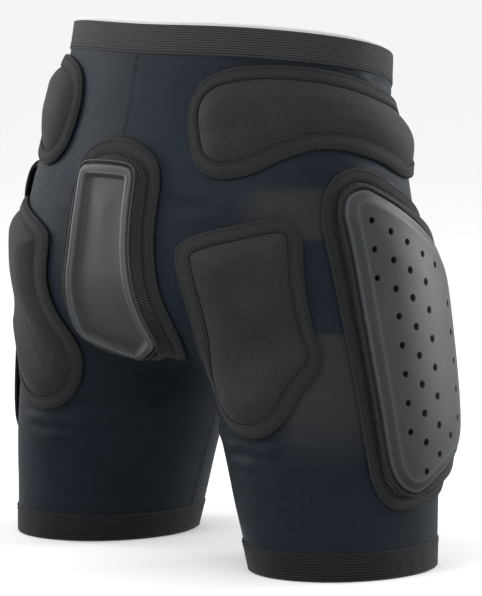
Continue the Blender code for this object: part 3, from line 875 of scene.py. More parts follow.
class PadDrawing:
    """One pad's flat drawing: its edge, and the spine that its rings shrink towards."""

    def __init__(self, chart: Chart, corners: Sequence[tuple[float, float]],
                 spine: Sequence[tuple[float, float]], count: int, detail: int = 6) -> None:
        """Draw the edge through corners given in the chart's units."""
        self.chart, self.detail = chart, detail
        self.spine = np.array(spine) * chart.value
        curve = outline(np.array(corners, float) * chart.value, count)
        tip = self.spine[0] * 2 - self.spine[1]
        self.curve = np.roll(curve, -int(np.linalg.norm(curve - tip, axis=1).argmin()), 0)
        self.feet = feet(self.curve, self.spine)

    def edge(self, depth: float) -> np.ndarray:
        """The drawn edge moved inwards by a depth, as points (n, 2)."""
        return refine(inset(self.curve, depth), self.detail)

    def shrink(self, depth: float, near: np.ndarray, share: np.ndarray) -> tuple[np.ndarray,
                                                                                 np.ndarray]:
        """Rings between the edge and the spine.

        A ring's points lie on straight lines from the inset edge to their feet, near metres along
        and then a share of what is left.

        Args:
            depth: How far in the first edge lies.
            near: Distance of each ring (k,).
            share: Share of the rest of the way for each ring (k,).

        Returns:
            Drawn points (k, n, 2) and each point's distance from the inset edge (k, n).
        """
        edge, foot = self.edge(depth), refine(self.feet, self.detail)
        reach = np.linalg.norm(foot - edge, axis=1)
        first = np.minimum(near[:, None] / reach, 0.9)
        part = first + share[:, None] * (1 - first)
        drawn = edge + (foot - edge) * part[..., None]
        run = np.roll(edge, -1, 0) - edge
        off = drawn[..., None, :] - edge
        along = np.clip((off * run).sum(-1) / (run**2).sum(-1), 0.0, 1.0)
        return drawn, np.linalg.norm(off - run * along[..., None], axis=-1).min(-1)

    def lay(self, drawn: np.ndarray, height: np.ndarray) -> np.ndarray:
        """Drawn rings (k, n, 2) as points at their heights above the form."""
        return FORM.lift(self.chart.land(drawn), height)


def zip_ends(rings: int, around: int) -> np.ndarray:
    """Quads that close the narrow first and last rings of a pad from side to side."""
    i = np.arange(around // 2)
    one = np.stack([i, i + 1, around - i - 1, (around - i) % around], -1)
    return np.concatenate([one, one + (rings - 1) * around])


@dataclass
class PadShell:
    """A closed pad, cover or plate over a drawing."""

    drawing: PadDrawing
    depth: float
    low: float
    height: Callable[[np.ndarray], np.ndarray]
    near: tuple[float, ...]
    share: tuple[float, ...]
    unevenness: float = 0.0
    seed: int = 1
    # Distances in from the edge where thin lines of painted highlight run.
    highlight_crests: tuple[float, ...] = ()

    def build(self, name: str, look: bpy.types.Material, side: Side) -> bpy.types.Object:
        """Underside rings at the low level, then top rings whose height depends on distance."""
        down, _ = self.drawing.shrink(self.depth, np.zeros(4), np.array([0.97, 0.66, 0.33, 0.0]))
        top, far = self.drawing.shrink(self.depth, np.array(self.near), np.array(self.share))
        height = self.height(far) + self.unevenness * ripple(top, 0.045, self.seed) * smooth(
            far, 0.002, 0.012)
        drawn = np.concatenate([down, top])
        level = np.concatenate([np.full(down.shape[:2], self.low), height])
        # Painted highlight: a thin pale line at each highlight crest, stored in the edge mask.
        crest_highlight = sum((bell(far, crest, 0.0011) for crest in self.highlight_crests), np.zeros(far.shape))
        points = self.drawing.lay(drawn, level)
        wrapped = np.concatenate([drawn, drawn[:, :1]], 1)
        grid = Grid(points, wrapped, wrap_cols=True,
                    masks={"edge": np.concatenate([np.zeros(down.shape[:2]), crest_highlight])})
        return mesh_piece(name, [grid], look, side, [zip_ends(*points.shape[:2])])


@dataclass
class Tape:
    """Knitted tape sewn round a pad: rolled edges, a flat crown and two sunk rows of stitches."""

    drawing: PadDrawing
    low: float = 0.0016
    high: float = 0.0046
    climb: float = 0.0
    wide: float = 0.012
    sunk: tuple[float, float] = (0.0026, 0.0098)
    sunk_deep: float = 0.0005
    outer_round: float = 0.0016
    inner_round: float = 0.0014
    crown: float = 0.00035
    wave: float = 0.00018
    rows: int = 25

    def height(self, depth: np.ndarray, along: np.ndarray) -> np.ndarray:
        """Height over the form.

        It rises along a quarter circle at both edges, climbs evenly between them and drops in
        each row of stitches; a slow wave runs along it.
        """
        share = np.clip(depth / self.wide, 0, 1)
        rolls = (quarter_round(depth, self.outer_round)
                 * quarter_round(self.wide - depth, self.inner_round))
        groove = sum(bell(depth, at, 0.0007) for at in self.sunk)
        uneven = (self.crown * np.sin(share * math.pi)
                  + self.wave * np.sin(along * 61) * np.sin(along * 23 + 1))
        top = self.high - self.low + self.climb * share
        return self.low + top * rolls + uneven - self.sunk_deep * groove

    def build(self, name: str, looks: Wardrobe, side: Side) -> list[bpy.types.Object]:
        """The tape and its stitches."""
        depth = np.concatenate([[0, 0.0002, 0.0005, 0.0009], np.linspace(0.0014, self.wide - 0.0012,
                                self.rows - 8), [self.wide - 0.0008, self.wide - 0.0004,
                                                 self.wide - 0.0001, self.wide]])
        edges = np.stack([self.drawing.edge(d) for d in depth])
        run = np.linalg.norm(np.diff(edges, axis=1, append=edges[:, :1]), axis=2)[0]
        along = np.concatenate([[0], np.cumsum(run)])
        level = self.height(depth[:, None], along[None, :-1])
        level[[0, -1]] = self.low
        points = self.drawing.lay(edges, level)
        lay = board(along, depth)
        lay = np.concatenate([lay, lay[:1] + (0, self.wide)])
        tape = mesh_piece(name, [Grid(points, lay, wrap_cols=True, wrap_rows=True)], looks.tape,
                          side)
        rows = [self.drawing.lay(self.drawing.edge(d), self.height(np.array(d), 0.0) + 0.0003)
                for d in self.sunk]
        return [tape, sewn(f"{name}_stitches", rows, looks, side)]


def swell(piece: bpy.types.Object, slack: np.ndarray, pressure: float, cap: float) -> None:
    """Fill a cover by cloth simulation and keep the result.

    Args:
        piece: A closed cover.
        slack: Share of free movement of every vertex (n,); the rim and the underside have none.
        pressure: Pressure of the filling.
        cap: The furthest that a vertex may move.
    """
    mesh, scene = piece.data, bpy.context.scene
    before = np.zeros(len(mesh.vertices) * 3, np.float32)
    mesh.vertices.foreach_get("co", before)
    group = piece.vertex_groups.new(name="held")
    group.add([int(i) for i in np.flatnonzero(slack < 0.02)], 1.0, "REPLACE")
    cloth = piece.modifiers.new("filling", "CLOTH")
    settings = cloth.settings
    settings.quality, settings.mass, settings.vertex_group_mass = 5, 0.25, "held"
    settings.tension_stiffness = settings.compression_stiffness = 18
    settings.shear_stiffness, settings.bending_stiffness = 6, 0.6
    settings.use_pressure, settings.uniform_pressure_force = True, pressure
    settings.effector_weights.gravity = 0
    cloth.point_cache.frame_start, cloth.point_cache.frame_end = 1, 20
    for number in range(1, 21):
        scene.frame_set(number)
    after = np.zeros_like(before)
    made = piece.evaluated_get(bpy.context.evaluated_depsgraph_get())
    made.data.vertices.foreach_get("co", after)
    piece.modifiers.clear()
    piece.vertex_groups.clear()
    scene.frame_set(1)
    travel = (after - before).reshape(-1, 3)
    length = np.linalg.norm(travel, axis=1, keepdims=True)
    travel *= np.minimum(1.0, cap / np.maximum(length, 1e-9)) * slack[:, None]
    mesh.vertices.foreach_set("co", (before.reshape(-1, 3) + travel).astype(np.float32).ravel())
    mesh.update()
    LOG.info("%s filled, furthest travel %.1f mm", piece.name, 1000 * float(length.max()))


class Anchor(Enum):
    """What a piece moves with."""

    TRUNK = "trunk"
    FOLD = "fold"

    def hold(self, pieces: Sequence[bpy.types.Object], side: Side) -> None:
        """Fix pieces to the trunk, or only bake their transforms."""
        for piece in pieces:
            if self is Anchor.TRUNK:
                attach(piece, Body.PELVIS.value)
            else:
                FOLD.bend(piece, side)


def stand_in(piece: bpy.types.Object, slot: str, *nodes: str) -> None:
    """Hide the nodes of the frame that a piece takes the place of."""
    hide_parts(*nodes)


@dataclass
class CushionedPad:
    """A mesh-covered foam cushion inside its tape."""

    name: str
    drawing: PadDrawing
    crown: float
    anchor: Anchor
    seed: int
    rim: float = 0.0112
    near: tuple[float, ...] = (0.0, 0.0004, 0.001, 0.0018, 0.0028, 0.004, 0.0055, 0.0075, 0.010)
    steps: int = 15
    tape_high: float = 0.0038
    tape_climb: float = 0.0030
    shoulder: float = 0.0048
    shoulder_soft: float = 0.0045
    shoulder_share: float = 0.60
    crown_wide: float = 0.017

    def height(self, far: np.ndarray) -> np.ndarray:
        """A steep soft shoulder beside the tape, then a broad crown."""
        steep, broad = 1 - np.exp(-far / self.shoulder_soft), smooth(far, 0.0, self.crown_wide)
        rise = self.shoulder_share * steep + (1 - self.shoulder_share) * broad
        return self.shoulder + (self.crown - self.shoulder) * rise

    def build(self, looks: Wardrobe, side: Side) -> list[bpy.types.Object]:
        """Tape, stitches and filled cover of one side."""
        tape, stitches = Tape(self.drawing, high=self.tape_high, climb=self.tape_climb).build(
            f"{self.name}_binding_{side.word}", looks, side)
        near = self.near + (self.near[-1],) * self.steps
        share = (0.0,) * len(self.near) + tuple(np.linspace(0.06, 0.975, self.steps))
        shell = PadShell(self.drawing, self.rim, 0.0018, self.height, near, share, 0.00035,
                         self.seed)
        cover = shell.build(f"{self.name}_cushion_cover_{side.word}", looks.mesh, side)
        _, far = self.drawing.shrink(self.rim, np.array(near), np.array(share))
        held = np.zeros(4 * far.shape[1])
        swell(cover, np.concatenate([held, smooth(far, 0.001, 0.012).ravel()]), 4.0, 0.002)
        pieces = [tape, stitches, cover]
        self.anchor.hold(pieces, side)
        stand_in(tape, "tape", f"{self.name}_tape_{side.word}")
        stand_in(cover, "mesh", f"{self.name}_cushion_{side.word}")
        return pieces


HIP_PAD = ((31, 363), (30, 387), (34, 408), (43, 420), (57, 425), (72, 423), (84, 416), (98, 403),
           (112, 391), (122, 377), (127, 361), (127, 344), (120, 332), (109, 327), (99, 332),
           (90, 344), (80, 354), (70, 356), (60, 347), (50, 335), (41, 332), (34, 342))
HIP_SPINE = ((46, 372), (60, 387), (76, 389), (92, 374), (106, 361), (115, 354))
GLUTE_PAD = ((98, 262), (97, 275), (89, 286), (72, 296), (58, 301), (50, 295), (48, 280),
             (49, 250), (48, 215), (45, 189), (49, 173), (58, 156), (66, 137), (77, 122),
             (88, 117), (100, 121), (108, 134), (111, 154), (110, 174), (106, 190), (101, 208),
             (98, 232))
GLUTE_SPINE = ((74, 266), (78, 215), (86, 162))
THIGH_PAD = ((38, 300), (34, 325), (25, 338), (14, 340), (0, 330), (-14, 318), (-30, 305),
             (-44, 289), (-53, 265), (-55, 225), (-55, 180), (-54, 130), (-51, 95), (-42, 73),
             (-27, 62), (-10, 58), (6, 57), (18, 62), (26, 79), (29, 110), (31, 165), (33, 213),
             (36, 262))
THIGH_PLATE = ((30, 303), (27, 317), (20, 322), (8, 312), (-6, 297), (-18, 283), (-30, 268),
               (-41, 251), (-46, 232), (-46, 190), (-46, 150), (-44, 122), (-36, 102), (-24, 93),
               (-11, 84), (0, 75), (9, 74), (17, 84), (21, 103), (23, 148), (24.5, 190),
               (26, 235), (29, 285))
THIGH_SPINE = ((3, 270), (-10, 220), (-12, 160), (-8, 120))
TAIL_PAD = ((0, -41.5), (28, -39.5), (44, -35), (50, -27), (51, -16), (53, -2.5), (57, 10),
            (61, 22), (60, 34), (52, 43), (38, 48), (18, 51), (0, 52))
TAIL_PLATE = ((0, -32.8), (14, -32.8), (24, -32.4), (28.5, -31), (30.6, -28), (31.4, -22),
              (33, -11), (35, -0.5), (39, 10.5), (43, 21), (44.4, 26), (43.6, 29.6), (39, 32.4),
              (20, 38), (5, 42), (0, 42.8))
TAIL_SPINE = ((0, -25), (0, 26))


def hip_pad() -> CushionedPad:
    """The padded wrap over the top of the hip."""
    return CushionedPad("hip", PadDrawing(Chart.TRUNK, HIP_PAD, HIP_SPINE, 40), 0.0136,
                        Anchor.TRUNK, 11)


def glute_pad() -> CushionedPad:
    """The cushion over the seat bone."""
    return CushionedPad("glute", PadDrawing(Chart.LEG, GLUTE_PAD, GLUTE_SPINE, 36), 0.0140,
                        Anchor.FOLD, 23)


def piping(name: str, drawing: PadDrawing, depth: float, height: float, thick: float,
           look: bpy.types.Material, side: Side, flat: float = 1.0) -> bpy.types.Object:
    """A cord of covered piping beside a drawn edge.

    Args:
        name: The piece's name.
        drawing: The drawing whose edge it follows.
        depth: How far inside the edge its middle lies; less than 0 is outside.
        height: Height of its middle over the form.
        thick: Its radius.
        look: Its material.
        side: The half it belongs to.
        flat: Its height as a share of its width.

    Returns:
        A closed ring of round section.
    """
    turn = np.linspace(0, 2 * math.pi, 10, endpoint=False)
    edges = np.stack([drawing.edge(depth - thick * math.cos(a)) for a in turn])
    level = np.broadcast_to((height + thick * flat * np.sin(turn))[:, None], edges.shape[:2])
    points = drawing.lay(edges, level)
    run = np.linalg.norm(np.diff(edges, axis=1, append=edges[:, :1]), axis=2)[0]
    along, around = np.concatenate([[0], np.cumsum(run)]), np.append(turn, 2 * math.pi) * thick
    return mesh_piece(name, [Grid(points, board(along, around), wrap_cols=True, wrap_rows=True)],
                      look, side)


@dataclass
class ThighPad:
    """Foam, tape and a vented hard plate down the outside of the thigh."""

    vents: tuple[tuple[float, float, int], ...] = (  # angle, lowest height in mm, how many
        (18.5, 250, 3), (9.5, 123, 8), (0.5, 90, 9), (-9.5, 102, 8), (-20.0, 115, 1),
        (-20.0, 255, 1), (-30.0, 127, 5))
    vent_pitch: float = 23.4
    vent_radius: float = 0.0025
    vent_mouth: float = 0.0034
    rim: float = 0.0118
    plate_low: float = 0.0150
    plate_round: float = 0.0014
    plate_bevel: float = 0.0096
    plate_steps: int = 26
    foam_steps: int = 9
    vent_sides: int = 20

    def __post_init__(self) -> None:
        """Draw the pad and its plate."""
        self.drawing = PadDrawing(Chart.LEG, THIGH_PAD, THIGH_SPINE, 42)
        self.plate = PadDrawing(Chart.LEG, THIGH_PLATE, THIGH_SPINE, 42)

    def foam_height(self, far: np.ndarray) -> np.ndarray:
        """A bolster beside the tape, which meets the plate's rim almost level."""
        return (0.0044 + 0.0100 * (1 - np.exp(-far / 0.0030))
                + 0.0006 * bell(far, 0.0060, 0.0020))

    def plate_height(self, far: np.ndarray) -> np.ndarray:
        """A quarter-round edge, a bevel 9 mm wide and a slight crown."""
        return (self.plate_low + 0.0032 * quarter_round(far, self.plate_round) 
                + 0.0025 * smooth(far, 0.0016, 0.0095) + 0.0008 * smooth(far, 0.010, 0.040))

    def vent_cutters(self, side: Side) -> bpy.types.Object:
        """One body with a straight drill and a flared mouth at every vent."""
        spots = np.array([(turn, (first + self.vent_pitch * i) / 1000)
                          for turn, first, count in self.vents for i in range(count)])
        at = FORM.leg_point(spots[:, 0], spots[:, 1])
        axis = FORM.normal(at)
        across = np.cross(axis, (0, 0, 1.0))
        across /= np.linalg.norm(across, axis=1, keepdims=True)
        up = np.cross(axis, across)
        turn = np.linspace(0, 2 * math.pi, self.vent_sides, endpoint=False)[None, None, :, None]
        level = np.array([0.0100, 0.0203, 0.0216, 0.0300])[None, :, None, None]
        radius = np.array([self.vent_radius, self.vent_radius, self.vent_mouth,
                           self.vent_mouth + 0.004])[None, :, None, None]
        put = lambda v: v[:, None, None, :]
        points = put(at) + put(axis) * level + radius * (put(across) * np.cos(turn)
                                                         + put(up) * np.sin(turn))
        return loose_piece("vent_cutters", points.reshape(-1, 3),
                           beads(len(at), level.size, self.vent_sides), None, side)

    def build_plate(self, looks: Wardrobe, side: Side) -> bpy.types.Object:
        """The hard plate with its vents cut through."""
        near = (0.0, 0.0001, 0.0004, 0.0008, 0.0014, 0.0020, 0.0032, 0.0045, 0.0060, 0.0078,
                self.plate_bevel)
        steps = tuple(np.linspace(0.03, 0.98, self.plate_steps))
        shell = PadShell(self.plate, 0.0, self.plate_low, self.plate_height,
                         near + (near[-1],) * self.plate_steps, (0.0,) * len(near) + steps,
                         # Painted highlight lines on the quarter-round edge and at the end of the bevel.
                         highlight_crests=(self.plate_round, self.plate_bevel))
        plate = shell.build(f"thigh_plate_shell_{side.word}", looks.plate, side)
        cutters = self.vent_cutters(side)
        cut = plate.modifiers.new("vents", "BOOLEAN")
        cut.object, cut.operation, cut.solver = cutters, "DIFFERENCE", "EXACT"
        apply_modifiers(plate)
        bpy.data.objects.remove(cutters)
        plate.data.set_sharp_from_angle(angle=math.radians(38))
        weigh = plate.modifiers.new("even_shading", "WEIGHTED_NORMAL")
        weigh.keep_sharp = True
        return plate

    def build(self, looks: Wardrobe, side: Side) -> list[bpy.types.Object]:
        """Every piece of one side."""
        word = side.word
        tape, stitches = Tape(self.drawing, high=0.0048).build(f"thigh_binding_{word}", looks, side)
        near = (0.0, 0.0004, 0.001, 0.0018, 0.0028, 0.004, 0.0052, 0.0064, 0.0076, 0.009)
        shell = PadShell(self.drawing, self.rim, 0.0022, self.foam_height,
                         near + (near[-1],) * self.foam_steps, (0.0,) * len(near)
                         + tuple(np.linspace(0.08, 0.975, self.foam_steps)), 0.0002, 31)
        foam = shell.build(f"thigh_foam_cover_{word}", looks.mesh, side)
        plate = self.build_plate(looks, side)
        cord = piping(f"thigh_piping_{word}", self.plate, -0.0026, 0.0150, 0.00125, looks.tape,
                      side)
        thread = sewn(f"thigh_plate_stitches_{word}",
                      [self.plate.lay(self.plate.edge(-0.0009), 0.0158)], looks, side,
                      stitch=Stitch(0.0021, 0.0016, 0.00024, 0.0002))
        pieces = [tape, stitches, foam, plate, cord, thread]
        Anchor.FOLD.hold(pieces, side)
        stand_in(tape, "tape", f"thigh_tape_{word}")
        stand_in(foam, "foam_cover", f"thigh_foam_{word}")
        stand_in(plate, "thigh_plastic", f"thigh_plate_{word}")
        return pieces


@dataclass
class TailPad:
    """Foam, tape and a dished hard plate over the tailbone."""

    rim: float = 0.0116
    plate_low: float = 0.0106
    plate_round: float = 0.0012
    plate_rim: float = 0.0060
    plate_steps: int = 36
    foam_steps: int = 12

    def __post_init__(self) -> None:
        """Draw the pad and its plate, each mirrored about the centre back."""
        both = lambda half: half + tuple((-x, d) for x, d in half[-2:0:-1])
        self.drawing = PadDrawing(Chart.TAIL, both(TAIL_PAD), TAIL_SPINE, 36, 7)
        self.plate = PadDrawing(Chart.TAIL, both(TAIL_PLATE), TAIL_SPINE, 120, 2)

    def foam_height(self, far: np.ndarray) -> np.ndarray:
        """A bolster that climbs to the plate's rim, then sinks away under the plate."""
        return 0.0042 + 0.0104 * smooth(far, -0.002, 0.0066) - 0.0064 * smooth(far, 0.0092, 0.0125)

    def plate_height(self, far: np.ndarray) -> np.ndarray:
        """A quarter-round edge, a broad flat rim, and a steep wall down into the dish."""
        return (self.plate_low + 0.0070 * quarter_round(far, self.plate_round)
                + 0.0004 * smooth(far, 0.001, 0.003)
                - 0.0005 * smooth(far, 0.0042, self.plate_rim)
                - 0.0050 * smooth(far, self.plate_rim, 0.0100)
                + 0.0010 * smooth(far, 0.012, 0.034))

    def build(self, looks: Wardrobe, side: Side = Side.LEFT) -> list[bpy.types.Object]:
        """Every piece."""
        tape, stitches = Tape(self.drawing).build("tailbone_binding", looks, side)
        near = (0.0, 0.0004, 0.001, 0.0018, 0.0028, 0.004, 0.0052, 0.0064, 0.0076, 0.0088, 0.0100)
        foam = PadShell(self.drawing, self.rim, 0.0018, self.foam_height,
                        near + (near[-1],) * self.foam_steps, (0.0,) * len(near)
                        + tuple(np.linspace(0.06, 0.975, self.foam_steps)), 0.0002, 41).build(
            "tailbone_foam_cover", looks.mesh, side)
        near = (0.0, 0.0001, 0.0003, 0.0007, self.plate_round, 0.0018, 0.0028, 0.0042)
        plate = PadShell(self.plate, 0.0, self.plate_low, self.plate_height,
                         near + (near[-1],) * self.plate_steps, (0.0,) * len(near)
                         + tuple(np.linspace(0.02, 0.985, self.plate_steps)),
                         # Painted highlight lines on the quarter-round edge and at the inside of the
                         # flat rim.
                         highlight_crests=(self.plate_round, self.plate_rim)).build(
            "tailbone_plate_shell", looks.dish, side)
        lip = piping("tailbone_lip", self.plate, -0.0022, 0.0152, 0.0008, looks.dish, side, 1.3)
        pieces = [tape, stitches, foam, plate, lip]
        Anchor.TRUNK.hold(pieces, side)
        stand_in(tape, "tape", "tailbone_tape")
        stand_in(foam, "foam_cover", "tailbone_foam")
        stand_in(plate, "tail_plastic", "tailbone_plate")
        return pieces


# ------------------------------------------------------------------------------------------------
# Cloth, waistband and cuffs
# ------------------------------------------------------------------------------------------------
@dataclass(frozen=True)
class Crease:
    """A fold of the cloth along a line: a ridge between two shallow valleys, or the reverse."""

    start: tuple[float, float, float]
    end: tuple[float, float, float]
    wide: float
    high: float

    def lift(self, p: np.ndarray) -> np.ndarray:
        """Height at points: high * (exp(-(s/w)^2) - 0.4 exp(-((s - 1.9w)/w)^2)), s from the line."""
        a, run = np.array(self.start), np.array(self.end) - np.array(self.start)
        t = ((p - a) @ run) / (run @ run)
        s = np.linalg.norm(p - (a + np.clip(t, 0, 1)[..., None] * run), axis=-1) / self.wide
        ends = smooth(t, -0.25, 0.3) * (1 - smooth(t, 0.7, 1.25))
        return self.high * ends * (bell(s, 0.0, 1.0) - 0.4 * bell(s, 1.9, 1.0))


def trunk_crease(start: tuple[float, float], end: tuple[float, float], wide: float,
                 high: float) -> Crease:
    """A crease of the trunk between two places, each an angle from the centre back and a height."""
    ends = FORM.trunk_point(np.array([start[0], end[0]], float), np.array([start[1], end[1]]))
    return Crease(tuple(ends[0]), tuple(ends[1]), wide, high)


@dataclass
class StretchCloth:
    """One half of the fabric: its leg, its half of the gusset and its half of the trunk."""

    cuff_top: float = 0.0235
    columns: int = 180
    leg_rows: int = 84
    trunk_rows: int = 84
    gusset_columns: int = 12
    thick: float = 0.0009
    waist_tuck: float = 0.0225
    slow_wave: float = 0.00035
    furthest_rise: float = 0.0022
    inseam_turn: float = 160.0
    inseam_top: float = 0.14
    inseam_deep: float = 0.0004
    crisp: float = 55.0
    both_creases: tuple[Crease, ...] = (
        Crease((0.104, 0.090, 0.124), (0.064, 0.073, 0.124), 0.0060, -0.0026),
        Crease((0.064, 0.073, 0.124), (0.036, 0.036, 0.134), 0.0065, -0.0030),
        Crease((0.084, 0.088, 0.106), (0.150, 0.094, 0.108), 0.0040, 0.0022),
        Crease((0.092, 0.090, 0.096), (0.125, 0.095, 0.092), 0.0040, 0.0008),
        Crease((0.058, 0.127, 0.352), (0.080, 0.125, 0.322), 0.0050, 0.0011),
        Crease((0.060, 0.100, 0.200), (0.075, 0.105, 0.150), 0.0070, 0.0007),
        Crease((0.050, -0.085, 0.200), (0.090, -0.090, 0.235), 0.0060, 0.0012),
        Crease((0.040, -0.080, 0.190), (0.105, -0.098, 0.200), 0.0055, 0.0013),
        Crease((0.045, -0.070, 0.172), (0.110, -0.090, 0.168), 0.0055, 0.0011),
        Crease((0.020, -0.108, 0.300), (0.060, -0.105, 0.290), 0.0080, 0.0008),
        trunk_crease((84, 0.334), (98, 0.316), 0.0034, 0.0017),
        trunk_crease((76, 0.342), (92, 0.326), 0.0034, -0.0015),
        trunk_crease((70, 0.334), (84, 0.318), 0.0036, 0.0013),
        trunk_crease((88, 0.322), (104, 0.306), 0.0032, 0.0014),
        trunk_crease((66, 0.433), (92, 0.412), 0.0034, 0.0014),
        trunk_crease((78, 0.424), (104, 0.400), 0.0032, 0.0013),
        trunk_crease((40, 0.436), (60, 0.431), 0.0036, 0.0010),
        trunk_crease((24, 0.322), (44, 0.312), 0.0060, 0.0010),
        trunk_crease((26, 0.296), (42, 0.304), 0.0055, 0.0008))
    left_creases: tuple[Crease, ...] = (
        Crease((0.020, 0.108, 0.395), (0.050, 0.112, 0.380), 0.0070, 0.0007),)
    right_creases: tuple[Crease, ...] = (
        Crease((0.102, 0.092, 0.110), (0.166, 0.087, 0.116), 0.0042, 0.0012),
        Crease((0.150, 0.074, 0.346), (0.168, 0.052, 0.341), 0.0040, 0.0012))

    def leg_line(self) -> tuple[np.ndarray, np.ndarray]:
        """The leg line as angles and points."""
        turn = np.arange(self.columns) * 2.0 - 180.0
        return turn, FORM.leg_point(turn, FORM.leg_line(turn))

    def grids(self) -> list[np.ndarray]:
        """Leg, gusset half and trunk as grids of form points that share their edges exactly."""
        turn, line = self.leg_line()
        share = np.linspace(0, 1, self.leg_rows)[:, None]
        height = self.cuff_top + (FORM.leg_line(turn) - self.cuff_top) * share
        leg = FORM.leg_point(np.broadcast_to(turn, height.shape), height)
        leg[-1] = line
        around = np.where(turn < 0, turn + 360, turn)
        order = np.argsort(around)
        inner = line[order][(around[order] >= FORM.gusset_turn)
                            & (around[order] <= 360 - FORM.gusset_turn)]
        drop = np.degrees(np.arctan2(FORM.under_hub[1] - inner[:, 2],
                                     inner[:, 1] - FORM.under_hub[0]))
        part = np.linspace(0, 1, self.gusset_columns)
        gusset = FORM.under_point(inner[:, :1] * part, np.broadcast_to(drop[:, None],
                                                                       (len(drop), len(part))))
        gusset[:, -1] = inner
        outer = line[np.abs(turn) <= FORM.gusset_turn][::-1]
        hem = np.concatenate([gusset[0, :-1], outer, gusset[-1, -2::-1]])
        angle = np.degrees(np.arctan2(hem[:, 0], hem[:, 1]))
        top = FORM.rim(angle) - self.waist_tuck
        share = np.linspace(0, 1, self.trunk_rows)[:, None]
        height = hem[:, 2] + (top - hem[:, 2]) * share
        trunk = FORM.trunk_point(np.broadcast_to(angle, height.shape), height)
        trunk[0] = hem
        return [leg, gusset, trunk]

    def rise(self, p: np.ndarray, side: Side) -> np.ndarray:
        """Height of the cloth over the form: creases, slow waves and sunk centre and inside seams."""
        own = self.left_creases if side is Side.LEFT else self.right_creases
        rise = sum((crease.lift(p) for crease in self.both_creases + own), np.zeros(p.shape[:-1]))
        turn = np.degrees(np.arctan2(p[..., 1], p[..., 0] - profile(p[..., 2], FORM.leg_centre)))
        flat = np.stack([p[..., 0] + p[..., 1], p[..., 2]], -1)
        rise = rise + self.slow_wave * ripple(flat, 0.055, 5 + side.value)
        seam = bell(p[..., 0], 0.0, 0.0009)
        inseam = bell(np.abs(turn), self.inseam_turn, 1.2) * (turn < 0) * (
            p[..., 2] < self.inseam_top)
        return (np.minimum(rise, self.furthest_rise) - 0.0002 - 0.0002 * seam
                - self.inseam_deep * inseam)

    def panel(self, p: np.ndarray) -> np.ndarray:
        """Strength of the warmer panel between the seat and thigh pads, a separate fabric whose paler
        colour is partly painted sheen, with its plain inset where no sheen is painted.
        """
        turn = np.degrees(np.arctan2(p[..., 1], p[..., 0] - profile(p[..., 2], FORM.leg_centre)))
        z = p[..., 2]
        band = smooth(turn, 20, 24) * (1 - smooth(turn, 62, 76)) * smooth(z, 0.085, 0.150)
        band = band * (1 - smooth(z, 0.318, 0.330))
        patch = (smooth(z, 0.203, 0.207) * (1 - smooth(z, 0.281, 0.286))
                 * (1 - smooth(turn, 58, 62)))
        return band * (1 - patch)

    def build(self, grids: list[np.ndarray], looks: Wardrobe, side: Side) -> bpy.types.Object:
        """One half as a single piece, its wall turned inwards."""
        made = [Grid(FORM.lift(g, self.rise(g, side)), lay_of(g, wrap_cols=i == 0), wrap_cols=i == 0,
                     masks={"panel": self.panel(g)}) for i, g in enumerate(grids)]
        cloth = mesh_piece(f"cloth_{side.word}", made, looks.knit, side, weld=0.0002)
        face_outwards(cloth)
        area = sum(face.area for face in cloth.data.polygons)
        wall = cloth.modifiers.new("wall", "SOLIDIFY")
        wall.thickness, wall.offset = self.thick, -1.0
        apply_modifiers(cloth)
        cloth.data.set_sharp_from_angle(angle=math.radians(self.crisp))
        FOLD.bend(cloth, side)
        LOG.info("cloth_%s: %.4f square metres", side.word, area)
        return cloth


@dataclass
class Band:
    """A closed elastic band on the form between two heights."""

    land: Callable[[np.ndarray, np.ndarray], np.ndarray]
    low: Callable[[np.ndarray], np.ndarray]
    high: Callable[[np.ndarray], np.ndarray]
    outer: float
    inner: float
    rib: float
    rib_high: float
    round_: float = 0.0009
    columns: int = 240
    rows: int = 90
    wave: float = 0.0002

    def build(self, name: str, look: bpy.types.Material, side: Side) -> bpy.types.Object:
        """The band as a ring whose section has a ribbed outside, round rims and a plain inside."""
        turn = np.linspace(0, 360, self.columns, endpoint=False)
        tall = float(np.mean(self.high(turn) - self.low(turn)))
        up, arc = np.linspace(0, 1, self.rows), np.linspace(0, math.pi, 9)[1:-1]
        middle, half = (self.outer + self.inner) / 2, (self.outer - self.inner) / 2
        r = self.round_ / tall
        share = np.concatenate([r + up * (1 - 2 * r), 1 - r + r * np.sin(arc),
                                np.linspace(1 - r, r, 12), r - r * np.sin(arc)])
        ribs = self.rib_high * (np.cos(up * tall * 2 * math.pi / self.rib) - 1) / 2
        out = np.concatenate([self.outer + ribs, middle + half * np.cos(arc),
                              np.full(12, self.inner), middle - half * np.cos(arc)])
        height = self.low(turn) + (self.high(turn) - self.low(turn)) * share[:, None]
        grid = self.land(np.broadcast_to(turn, height.shape), height)
        flat = FORM.normal(grid) * (1, 1, 0)
        flat /= np.linalg.norm(flat, axis=-1, keepdims=True)
        wave = self.wave * ripple(np.stack([turn * 0.004, turn * 0], -1), 0.05, 3)
        points = grid + flat * (out[:, None] + wave)[..., None]
        around = np.append(turn, 360.0) / 360 * np.linalg.norm(
            np.diff(grid[0], axis=0, append=grid[0, :1]), axis=1).sum()
        line = np.concatenate([[0], np.cumsum(np.hypot(np.diff(share) * tall, np.diff(out)))])
        lay = board(around, np.append(line, line[-1] + 0.001))
        return mesh_piece(name, [Grid(points, lay, wrap_cols=True, wrap_rows=True)], look, side)


